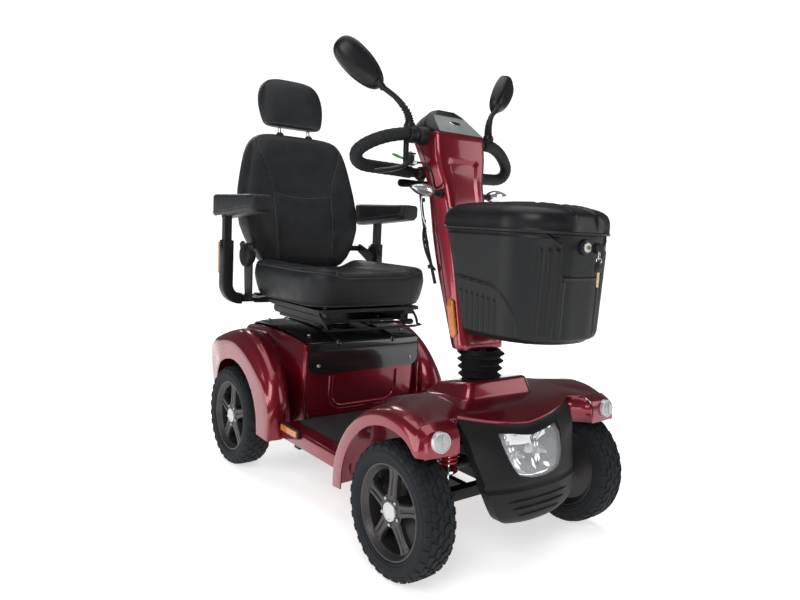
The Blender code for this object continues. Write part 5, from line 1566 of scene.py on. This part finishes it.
def make_lid():
    """Domed lid with a rim that laps the walls and a sunken channel along the middle."""
    centre_y = -0.088
    shape = [(0.8350, 1.000), (0.8355, 1.010), (0.8400, 1.013), (0.8415, 1.004), (0.8440, 1.000),
             (0.855, 1.002), (0.866, 0.998), (0.876, 0.984), (0.884, 0.955), (0.8905, 0.905),
             (0.8950, 0.840), (0.8985, 0.760), (0.9015, 0.660), (0.9040, 0.540), (0.9058, 0.400),
             (0.9068, 0.250), (0.9070, 0.100), (0.9070, 0.010)]
    outline = [box_spot(kind, share, 0.1635, -0.2535, 0.078)[0] for kind, share in box_columns()]
    outline += [(-x, y) for x, y in outline[-2:0:-1]]
    rings = []
    for z, scale in shape:
        ring = []
        for x, y in outline:
            px, py = x * scale, centre_y + (y - centre_y) * scale
            channel = ease(0.036 - abs(px), 0.0, 0.007) * ease(z, 0.846, 0.872)
            shoulder = 0.0025 * bell(abs(px) - 0.040, 0.012) * ease(z, 0.86, 0.885)
            sink = 0.0042 * channel
            slope = ease(scale, 0.80, 0.99)
            py += sink * slope * (1 if y < -0.15 else 0)
            ring.append((px, py, z - sink * (1 - slope) - 0.0018 + min(shoulder, 0.0018)))
        rings.append(ring)
    lid = skin(rings, closed_rows=True)
    lid.faces.new(list(lid.verts)[-len(outline):])
    piece("lid_dome", lid, "box_lid", SATIN, 50, ("box_lid",), wall=0.0035)
    hinge = bmesh.new()
    for x in (-0.075, 0.075):
        turned((x - 0.022, 0.0805, 0.838), (1, 0, 0), HINGE, 18, hinge)
    piece("lid_hinges", hinge, "tiller", POWDER)


def make_lock():
    """Round boss on the front of the box with the lock's barrel in it."""
    boss = turned((0, -0.2465, 0.806), FORWARD, [(0, 0.0185), (0.004, 0.0185), (0.0065, 0.0170),
                                                 (0.0075, 0.0140), (0.0078, 0.0118)], 40)
    piece("lock_boss", boss, "tiller", SATIN)
    barrel = turned((0, -0.2530, 0.806), FORWARD, [(0, 0.0112), (0.0050, 0.0112), (0.0065, 0.0100),
                                                   (0.0065, 0.0072), (0.0050, 0.0068), (0.0052, 0.0010)],
                    36)
    box((0, -0.2590, 0.806), (0.0022, 0.004, 0.0085), barrel)
    piece("lock_barrel", barrel, "box_lock", CAP, 34, ("box_lock",))


def key_head(middle, flat_axis, bm):
    """Rounded plastic head of a key, thin along one axis."""
    rings = []
    for level_at, grow in ((-0.0028, 0.90), (-0.0020, 1.0), (0.0020, 1.0), (0.0028, 0.90)):
        ring = []
        for i in range(28):
            a = math.tau * i / 28
            u = 0.0135 * grow * math.copysign(abs(math.cos(a)) ** 0.8, math.cos(a))
            v = 0.0125 * grow * math.copysign(abs(math.sin(a)) ** 0.8, math.sin(a))
            offset = Vector((level_at, u, v)) if flat_axis == "x" else Vector((u, level_at, v))
            ring.append(Vector(middle) + offset)
        rings.append(ring)
    return loft(rings, bm)


def make_keys():
    """One key standing in the lock and a second hanging from it on two small rings."""
    heads = bmesh.new()
    key_head((0, -0.2830, 0.806), "x", heads)
    key_head((0.0045, -0.2880, 0.7640), "y", heads)
    piece("key_heads", heads, "box_lock", SATIN, bevel=0.0006)
    blades = bmesh.new()
    box((0, -0.2655, 0.806), (0.0022, 0.0140, 0.0075), blades)
    blade = [(0.0010, 0.7530), (0.0080, 0.7530), (0.0080, 0.7300), (0.0070, 0.7280), (0.0080, 0.7255),
             (0.0068, 0.7230), (0.0078, 0.7205), (0.0045, 0.7165), (0.0010, 0.7190)]
    plate(blade, "y", -0.2892, -0.2868, blades)
    piece("key_blades", blades, "box_lock", BRASS, bevel=0.0004)
    rings = bmesh.new()
    for centre, radius, tilt in (((0.001, -0.2895, 0.7905), 0.0105, 0.5),
                                 ((0.004, -0.2880, 0.7780), 0.0060, -0.9)):
        path = []
        for i in range(31):
            a = 2 * math.pi * i / 30
            u, v = radius * math.cos(a), radius * math.sin(a)
            path.append(Vector(centre) + Vector((u * math.cos(tilt), u * math.sin(tilt), v)))
        sweep(path, 0.0008, 8, rings)
    piece("key_rings", rings, "box_lock", CHROME)


# ------------------------------------------------------------------ seat
SEAT_X = 0.234
SEAT_MIDDLE_Y = 0.812


def resample(outline, count):
    """The same closed outline as evenly spaced points."""
    points = [Vector(p) for p in outline]
    points.append(points[0])
    lengths = [0.0]
    for a, b in zip(points, points[1:]):
        lengths.append(lengths[-1] + (b - a).length)
    made = []
    index = 0
    for i in range(count):
        target = lengths[-1] * i / count
        while lengths[index + 1] < target:
            index += 1
        share = (target - lengths[index]) / max(1e-9, lengths[index + 1] - lengths[index])
        made.append(points[index].lerp(points[index + 1], share))
    return made


def cushion_top(x, y):
    """Height of the seat's upper side: low in the middle, raised along both sides, dipping at the back."""
    side = ease(abs(x), 0.105, 0.185)
    nose = 1 - ease(y, 0.60, 0.70)
    return 0.6680 + 0.0200 * side + 0.004 * nose * (1 - side) - 0.006 * ease(y, 0.80, 1.0) * (1 - side)


def cushion_outline(inset, count=180):
    """Outline of the cushion, its front edge bowed forward."""
    corner = max(0.030, 0.082 - inset * 0.6)
    flat = rounded(-SEAT_X + inset, SEAT_X - inset, 0.590 + inset, 1.034 - inset, corner, corner * 0.6, 12)
    made = []
    for p in resample(flat, count):
        bow = 0.010 * (1 - (p.x / SEAT_X) ** 2) if p.y < 0.70 else 0.0
        made.append((p.x, p.y + 0.006 - bow * (1 - ease(p.y, 0.60, 0.70))))
    return made


def seam_ring(points, size):
    """A closed line of stitching."""
    bm = bmesh.new()
    path = [Vector(p) for p in points]
    sweep(path + [path[0]], size, 8, bm)
    return bm


def make_cushion():
    """Crowned seat pad with raised sides, a piped top edge, a hem and two sewn lines."""
    rings = []
    for z, inset in ((0.5600, 0.036), (0.5625, 0.024), (0.568, 0.0175), (0.580, 0.0115), (0.600, 0.0060),
                     (0.620, 0.0020), (0.640, -0.0005), (0.652, 0.0005)):
        rings.append(level(cushion_outline(inset), z))
    for drop, inset in ((0.0175, 0.0035), (0.0155, 0.0062), (0.0135, 0.0045), (0.0085, 0.0075),
                        (0.0045, 0.0125), (0.0015, 0.0200), (0.0, 0.0300)):
        rings.append([(x, y, cushion_top(x, y) - drop) for x, y in cushion_outline(inset)])
    edge = cushion_outline(0.030)
    for i in range(1, 30):
        scale = 1 - i / 30
        ring = []
        for x, y in edge:
            px, py = x * scale, SEAT_MIDDLE_Y + (y - SEAT_MIDDLE_Y) * scale
            crown = 0.0020 * noise.noise((px * 11, py * 11, 3.0))
            crown += 0.0012 * noise.noise((px * 30, py * 30, 1.0))
            ring.append((px, py, cushion_top(px, py) + crown))
        rings.append(ring)
    seat = piece("cushion", loft(rings), "seat", VINYL, 80, ("seat_cushion",))
    thread = seam_ring([(x, y, cushion_top(x, y) - 0.0155) for x, y in cushion_outline(0.0052, 120)],
                       0.0013)
    piece("cushion_seam", thread, "seat", THREAD)
    lower = seam_ring(level(cushion_outline(0.0180, 120), 0.5670), 0.0012)
    piece("cushion_hem", lower, "seat", THREAD)
    for side_name, side in SIDES:
        path = [(side * 0.150, 0.5880 + 0.0085 * t, cushion_top(0.150, 0.6) - 0.0155 * (1 - t) ** 2)
                for t in (0.0, 0.25, 0.5, 0.75, 1.0)]
        for i in range(1, 17):
            x, y = 0.150 - 0.012 * i / 16, 0.60 + 0.40 * i / 16
            path.append((side * x, y, cushion_top(x, y) - 0.0004))
        bm = sweep(path, 0.0012, 8)
        piece(f"cushion_line_{side_name}", bm, "seat", THREAD)


# the backrest pad: (z, half width, front y, rear y)
BACK = [(0.650, 0.118, 1.082, 1.128), (0.655, 0.140, 1.077, 1.134), (0.666, 0.160, 1.073, 1.140),
        (0.690, 0.181, 1.071, 1.147), (0.720, 0.199, 1.073, 1.155), (0.760, 0.216, 1.078, 1.166),
        (0.800, 0.2285, 1.084, 1.177), (0.845, 0.2330, 1.093, 1.188), (0.890, 0.2310, 1.103, 1.198),
        (0.935, 0.2255, 1.113, 1.207), (0.985, 0.2160, 1.124, 1.215), (1.030, 0.2065, 1.134, 1.221),
        (1.065, 0.1980, 1.143, 1.224), (1.090, 0.1890, 1.149, 1.225), (1.110, 0.1790, 1.155, 1.224),
        (1.124, 0.1660, 1.161, 1.222), (1.133, 0.1500, 1.167, 1.219), (1.139, 0.1300, 1.174, 1.214),
        (1.143, 0.1020, 1.184, 1.206)]


BACK_SEAM = [(0.650, 0.108), (0.760, 0.1145), (0.860, 0.118), (0.929, 0.119), (0.975, 0.128),
             (1.020, 0.142), (1.065, 0.158), (1.100, 0.172), (1.143, 0.195)]


def back_seams(z):
    """Distance from the middle of the seam on each side at a height."""
    return table(BACK_SEAM, z)[1]


def yoke_line(x):
    """Height of the seam that crosses the backrest between the two long ones."""
    return 0.925 - 0.014 * math.cos(math.pi * min(1.0, abs(x) / 0.119) / 2)


def back_front(x, z):
    """Front of the backrest: middle panel slightly sunk between bolsters, pulled in along its seams."""
    _, half, front, _ = table(BACK, z)
    seam = back_seams(z)
    share = min(1.0, abs(x) / half)
    bolster = 0.011 * bell(share - 0.80, 0.30) * ease(z, 0.70, 0.80) * (1 - ease(z, 1.05, 1.13))
    crown = 0.006 * (1 - share * share)
    pull = 0.0042 * bell(abs(x) - seam, 0.011)
    if abs(x) < seam:
        pull = max(pull, 0.0040 * bell(z - yoke_line(x), 0.011))
    return front - bolster - crown + pull


def back_ring(z, columns=22):
    """Section of the backrest: crowned front, tight piped front corners, flat sides and a softer rear."""
    _, half, front, rear = table(BACK, z)
    depth = rear - front
    tight, soft = min(0.014, 0.3 * depth), min(0.026, 0.45 * depth)
    across = [(half - tight) * i / columns for i in range(columns + 1)]
    right = [(x, back_front(x, z)) for x in across]
    step_in = right[-1][1] - front
    for a in range(-75, 1, 15):
        turn = math.radians(a)
        lift = -step_in * a / 90
        right.append((half - tight + tight * math.cos(turn), front + lift + tight + tight * math.sin(turn)))
    for i in range(1, 5):
        right.append((half + 0.002 * math.sin(math.pi * i / 5), between(front + tight, rear - soft, i / 5)))
    for a in range(0, 91, 15):
        turn = math.radians(a)
        right.append((half - soft + soft * math.cos(turn), rear - soft + soft * math.sin(turn)))
    for i in range(1, 9):
        x = (half - soft) * (1 - i / 8)
        right.append((x, rear + 0.004 * (1 - (x / half) ** 2)))
    points = right + [(-x, y) for x, y in right[-2:0:-1]]
    return [(x, y, z) for x, y in points]


def make_back_pad():
    heights = [0.650, 0.652, 0.655, 0.660, 0.666, 0.674, 0.682] + [0.690 + 0.0068 * i for i in range(62)]
    heights = [z for z in heights if z < 1.112]
    heights += [1.116, 1.121, 1.126, 1.130, 1.134, 1.137, 1.140, 1.142, 1.143]
    back = piece("back_pad", loft([back_ring(z) for z in heights]), "backrest", VINYL, 80,
                 ("backrest",))


def make_back_seams():
    """Two long seams, the yoke between them and the piping round the front edge."""
    threads = bmesh.new()
    for side in (1, -1):
        path = []
        for i in range(58):
            z = 0.680 + i * (1.118 - 0.680) / 57
            x = min(back_seams(z), table(BACK, z)[1] - 0.018)
            path.append((side * x, back_front(x, z) - 0.0004, z))
        sweep(path, 0.0012, 8, threads)
    yoke = []
    for i in range(41):
        x = 0.1175 * (2 * i / 40 - 1)
        z = yoke_line(x)
        yoke.append((x, back_front(x, z) - 0.0004, z))
    sweep(yoke, 0.0012, 8, threads)
    for side in (1, -1):
        rim = []
        for i in range(60):
            z = 0.690 + i * (1.136 - 0.690) / 59
            _, half, front, rear = table(BACK, z)
            tight = min(0.014, 0.3 * (rear - front))
            rim.append((side * (half - tight * 0.30),
                        between(back_front(half, z), front, 0.5) + tight * 0.34, z))
        sweep(rim, 0.0014, 8, threads)
    piece("back_seams", threads, "backrest", THREAD)


def make_recline():
    """Arm plates of the backrest, and the round covers and lever on its hinge."""
    arms = bmesh.new()
    for side in (1, -1):
        outline = arc((1.010, 0.700), 0.027, 150, 330, 14) + [(1.094, 0.716), (1.103, 0.735),
                                                              (1.086, 0.746)]
        plate(outline, "x", *sorted((side * 0.2395, side * 0.2485)), arms)
        box((side * 0.2165, 1.090, 0.7285), (0.048, 0.018, 0.020), arms)
    piece("back_arms", arms, "backrest", POWDER, bevel=0.0012)
    covers = bmesh.new()
    for side in (1, -1):
        turned((side * 0.2500, 1.010, 0.700), (side, 0, 0),
               [(0, 0.0400), (0.018, 0.0400), (0.021, 0.0385), (0.0225, 0.0355), (0.0225, 0.0300),
                (0.0215, 0.0290), (0.0215, 0.0270), (0.0235, 0.0255), (0.0240, 0.0100), (0.0240, 0.0010)],
               56, covers)
    piece("recline_covers", covers, "seat", BLACK, 34)
    levers = bmesh.new()
    path = curve_through([(0.262, 1.012, 0.690), (0.2625, 0.992, 0.655), (0.2630, 0.978, 0.625),
                          (0.2630, 0.968, 0.600)])
    sweep(path, along_route([0.010, 0.0085, 0.0075, 0.0060], len(path)), 18, levers, 0.55)
    piece("recline_lever", levers, "seat", SATIN)


# the headrest pad: (z, half width, front y, rear y)
HEAD = [(1.174, 0.090, 1.192, 1.234), (1.177, 0.103, 1.187, 1.240), (1.183, 0.111, 1.183, 1.246),
        (1.192, 0.1165, 1.181, 1.253), (1.215, 0.1225, 1.182, 1.262), (1.245, 0.1270, 1.187, 1.272),
        (1.270, 0.1275, 1.193, 1.278), (1.295, 0.1245, 1.200, 1.282), (1.315, 0.1185, 1.207, 1.282),
        (1.331, 0.1095, 1.214, 1.279), (1.343, 0.0975, 1.221, 1.274), (1.351, 0.0830, 1.229, 1.268),
        (1.357, 0.0600, 1.239, 1.258)]


def make_headrest():
    """Headrest pad, crowned towards the rider, on two bright posts."""
    bulge = 0.0042
    rings = []
    for z, half, front, rear in curve_through(HEAD, 4):
        depth = rear - front
        ring = []
        for i in range(96):
            a = 2 * math.pi * i / 96
            c, s = math.cos(a), math.sin(a)
            x = half * math.copysign(abs(c) ** 0.50, c)
            y = (front + rear) / 2 + depth / 2 * math.copysign(abs(s) ** 0.62, s)
            if s < 0:
                y -= bulge * (1 - (x / half) ** 2)
            ring.append((x, y, z))
        rings.append(ring)
    head = piece("head_pad", loft(rings), "headrest", VINYL, 80, ("headrest",))
    piece("head_seam", seam_ring([(x * 1.002, y, z) for x, y, z in rings[9]], 0.0012), "headrest", THREAD)
    posts = bmesh.new()
    guides = bmesh.new()
    lean = Vector((0, math.sin(math.radians(14)), math.cos(math.radians(14))))
    for x in (-0.060, 0.060):
        start = Vector((x, 1.196, 1.143))
        sweep([start - 0.075 * lean, start + 0.050 * lean], 0.0058, 20, posts)
        turned(start - 0.004 * lean, lean, [(0, 0.0150), (0.005, 0.0150), (0.008, 0.0135), (0.0125, 0.0105),
                                            (0.0130, 0.0068)], 32, guides)
    piece("head_posts", posts, "headrest", CHROME)
    piece("head_guides", guides, "backrest", SATIN)


def pad_ring(y, low, inset):
    """Section of the left arm pad: crowned top, round upper corners and tucked-in foot."""
    x0, x1, high, corner = 0.252 + inset, 0.331 - inset, 0.905 - inset * 0.7, 0.010
    low = low + inset * 0.6
    points = [(x0 + 0.015, low), (x1 - 0.015, low), (x1 - 0.012, low + 0.001), (x1 - 0.001, low + 0.012),
              (x1, low + 0.016), (x1, high - corner)]
    points += arc((x1 - corner, high - corner), corner, 15, 75, 4)
    points += [(x1 - corner, high), ((x0 + x1) / 2, high + 0.0015), (x0 + corner, high)]
    points += arc((x0 + corner, high - corner), corner, 105, 165, 4)
    points += [(x0, high - corner), (x0, low + 0.016), (x0 + 0.001, low + 0.012), (x0 + 0.012, low + 0.001)]
    return [(x, y, z) for x, z in points]


PAD_STATIONS = [(0.8200, 0.014), (0.8208, 0.010), (0.8230, 0.0055), (0.8280, 0.0020), (0.8350, 0.0),
                (0.880, 0.0), (0.960, 0.0), (1.040, 0.0), (1.100, 0.0), (1.135, 0.0), (1.1440, 0.0020),
                (1.1495, 0.0055), (1.1520, 0.0095), (1.1530, 0.013)]
ARM_X = 0.310
ARM_Y = 1.065


def make_arm_pad(name, side):
    """Pad with a slot for its post, and stitched lines along both sides."""
    body = f"arm_pad_{name}"
    rings = []
    for y, inset in PAD_STATIONS:
        low = between(0.852, 0.820, (y - 0.80) / 0.353)
        rings.append(sided(pad_ring(y, low, inset), side))
    pad = piece(f"pad_{name}", loft(rings), body, VINYL, 34, (body,))
    carve(pad, box((side * ARM_X, 1.110, 0.833), (0.029, 0.132, 0.066)))
    soften(pad, 0.0016, 3)
    trim = bmesh.new()
    for x in (0.2514, 0.3316):
        line = [(side * x, 0.832 + 0.312 * t / 12, between(0.872, 0.841, t / 12)) for t in range(13)]
        sweep(line, 0.0011, 8, trim)
    piece(f"pad_line_{name}", trim, body, THREAD)


def make_arm_sleeve(name, side):
    """Square tube that comes out from under the seat and turns up to the pad."""
    route = [((ARM_X, z), (0, -1)) for z in (0.748, 0.7465, 0.700, 0.640, 0.602)]
    route += [((0.264 + 0.046 * math.cos(a), 0.595 - 0.050 * math.sin(a)), (-math.sin(a), -math.cos(a)))
              for a in [math.radians(10 * i) for i in range(10)]]
    route += [((0.2585, 0.545), (-1, 0)), ((0.257, 0.545), (-1, 0))]
    rings = []
    for i, ((x, z), (run_x, run_z)) in enumerate(route):
        half = 0.0180 if i in (0, len(route) - 1) else 0.0190
        rings.append([(side * (x + u * run_z), ARM_Y + v, z - u * run_x)
                      for u, v in rounded(-half, half, -half, half, 0.005, 0.005, 4)])
    piece(f"arm_sleeve_{name}", loft(rings), f"arm_tube_{name}", POWDER, 40)


def make_arm_reflector(name, side):
    """Ribbed amber reflector in a black tray on the rear of the sleeve."""
    body = f"arm_tube_{name}"
    x = side * ARM_X
    back = plate(rounded(x - 0.0165, x + 0.0165, 0.628, 0.744, 0.004, 0.004, 4), "y", 1.0832, 1.0862)
    turned((side * 0.3285, ARM_Y, 0.728), (side, 0, 0), [(0, 0.0075), (0.003, 0.0075), (0.006, 0.0055)], 6,
           back)
    piece(f"reflector_base_{name}", back, body, BLACK, bevel=0.0008)
    rings = []
    for k in range(12):
        z = between(0.632, 0.740, k / 12)
        for lift, depth in ((0.0, 1.0990), (0.0030, 1.1030), (0.0060, 1.1030), (0.0090, 1.0990)):
            outline = rounded(x - 0.0158, x + 0.0158, 1.0858, depth, 0.002, 0.002, 3)
            rings.append(level(outline, z + lift))
    piece(f"arm_reflector_{name}", loft(rings), body, AMBER, 30)


def make_arm_hardware(name, side):
    bolt = turned((side * 0.3225, ARM_Y, 0.845), (side, 0, 0),
                  [(0, 0.0085), (0.003, 0.0085), (0.0055, 0.0060)], 20)
    piece(f"pad_bolt_{name}", bolt, f"arm_pad_{name}", STEEL)
    knob = turned((side * 0.215, 1.0485, 0.545), FORWARD,
                  [(0, 0.0050), (0.010, 0.0050), (0.012, 0.0125), (0.022, 0.0135), (0.026, 0.0115),
                   (0.027, 0.004)], 24)
    piece(f"arm_knob_{name}", knob, "seat", SATIN)


def make_armrests():
    for name, side in SIDES:
        make_arm_pad(name, side)
        make_arm_sleeve(name, side)
        make_arm_reflector(name, side)
        make_arm_hardware(name, side)


def make_seat_base():
    """Slide rails, cross bars, lever and bolts under the seat, over the plain CAD plates."""
    dress(("seat_post", "seat_swivel", "seat_lever", "seat_frame", "arm_tube_left", "arm_tube_right"),
          POWDER)
    rails = bmesh.new()
    for x in (-0.150, 0.150):
        for side in (-1, 1):
            box((x + side * 0.0145, 0.8125, 0.5195), (0.003, 0.350, 0.018), rails)
    piece("slide_rails", rails, "seat_swivel", POWDER, bevel=0.0008)
    bolts = bmesh.new()
    for x in (-0.150, 0.150):
        for y in (0.655, 0.965):
            turned((x, y, 0.5553), UP, [(0, 0.0070), (0.0040, 0.0070)], 6, bolts)
    for x in (-0.105, 0.105):
        for y in (0.735, 0.925):
            turned((x, y, 0.5058), UP, [(0, 0.0065), (0.0045, 0.0065)], 6, bolts)
    piece("seat_bolts", bolts, "seat_swivel", STEEL, bevel=0.0004)
    grip = turned((0.226, 0.6925, 0.4905), (1, -0.2, 0),
                  [(-0.038, 0.0060), (-0.036, 0.0095), (-0.004, 0.0105), (0.000, 0.0085), (0.001, 0.003)],
                  22)
    piece("lever_grip", grip, "seat_lever", RUBBER)
    bar = bmesh.new()
    route = [(-0.180, 0.640, 0.545), (-0.180, 0.612, 0.520), (-0.176, 0.598, 0.500),
             (-0.164, 0.594, 0.4925)]
    route += [(-x, y, z) for x, y, z in route[::-1]]
    sweep(curve_through(route, 3), 0.0045, 12, bar)
    piece("slide_bar", bar, "seat", POWDER)
    collar = turned((0, SEAT_POST_Y, 0.4775), UP, [(0, 0.0300), (0.002, 0.0340), (0.008, 0.0340),
                                                         (0.0085, 0.0300)], 36)
    piece("swivel_collar", collar, "seat_post", STEEL)


# ------------------------------------------------------------------ running gear
def make_running_gear():
    """Finished materials for the frame and axles, and red coils in place of the springs."""
    dress(("chassis_frame", "front_axle", "steering_column", "tiller_tube", "knuckle_left",
           "knuckle_right", "tie_rod", "drag_link"), POWDER)
    dress(("transaxle",), CAST)
    dress(("battery_left", "battery_right"), BATTERY)
    dress(("front_rod_left", "front_rod_right"), CHROME)
    for side_name, side in SIDES:
        low, high, turns = 0.252, 0.330, 5.5
        path = []
        count = int(turns * 28)
        for i in range(count + 1):
            t = i / count
            a = 2 * math.pi * turns * t
            squeeze = ease(t, 0.0, 0.12) * 0.5 + ease(t, 0.88, 1.0) * 0.5
            z = between(low + 0.004, high - 0.004, between(t, squeeze, 0.25))
            path.append((side * 0.190 + 0.0185 * math.cos(a), -0.032 + 0.0185 * math.sin(a), z))
        coil = piece(f"coil_{side_name}", sweep(path, 0.0036, 12), None, SPRING, 60,
                     (f"front_spring_{side_name}",))
        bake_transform(coil)


# ------------------------------------------------------------------ the scene
make_camera()
make_studio()
make_wheels()
make_front_fenders()
make_hood()
make_plinth()
make_front_panel()
make_headlight()
make_markers()
make_floor()
make_rear_fenders()
make_rear_tower()
make_tower_band()
make_battery_cover()
make_shroud()
make_tiller_reflectors()
make_bellows()
make_pod()
make_pod_boss()
make_console()
make_handlebar()
make_throttle()
make_brake()
make_cables()
make_mirrors()
make_indicators()
make_box()
make_lid()
make_lock()
make_keys()
make_cushion()
make_back_pad()
make_back_seams()
make_recline()
make_headrest()
make_armrests()
make_seat_base()
make_running_gear()
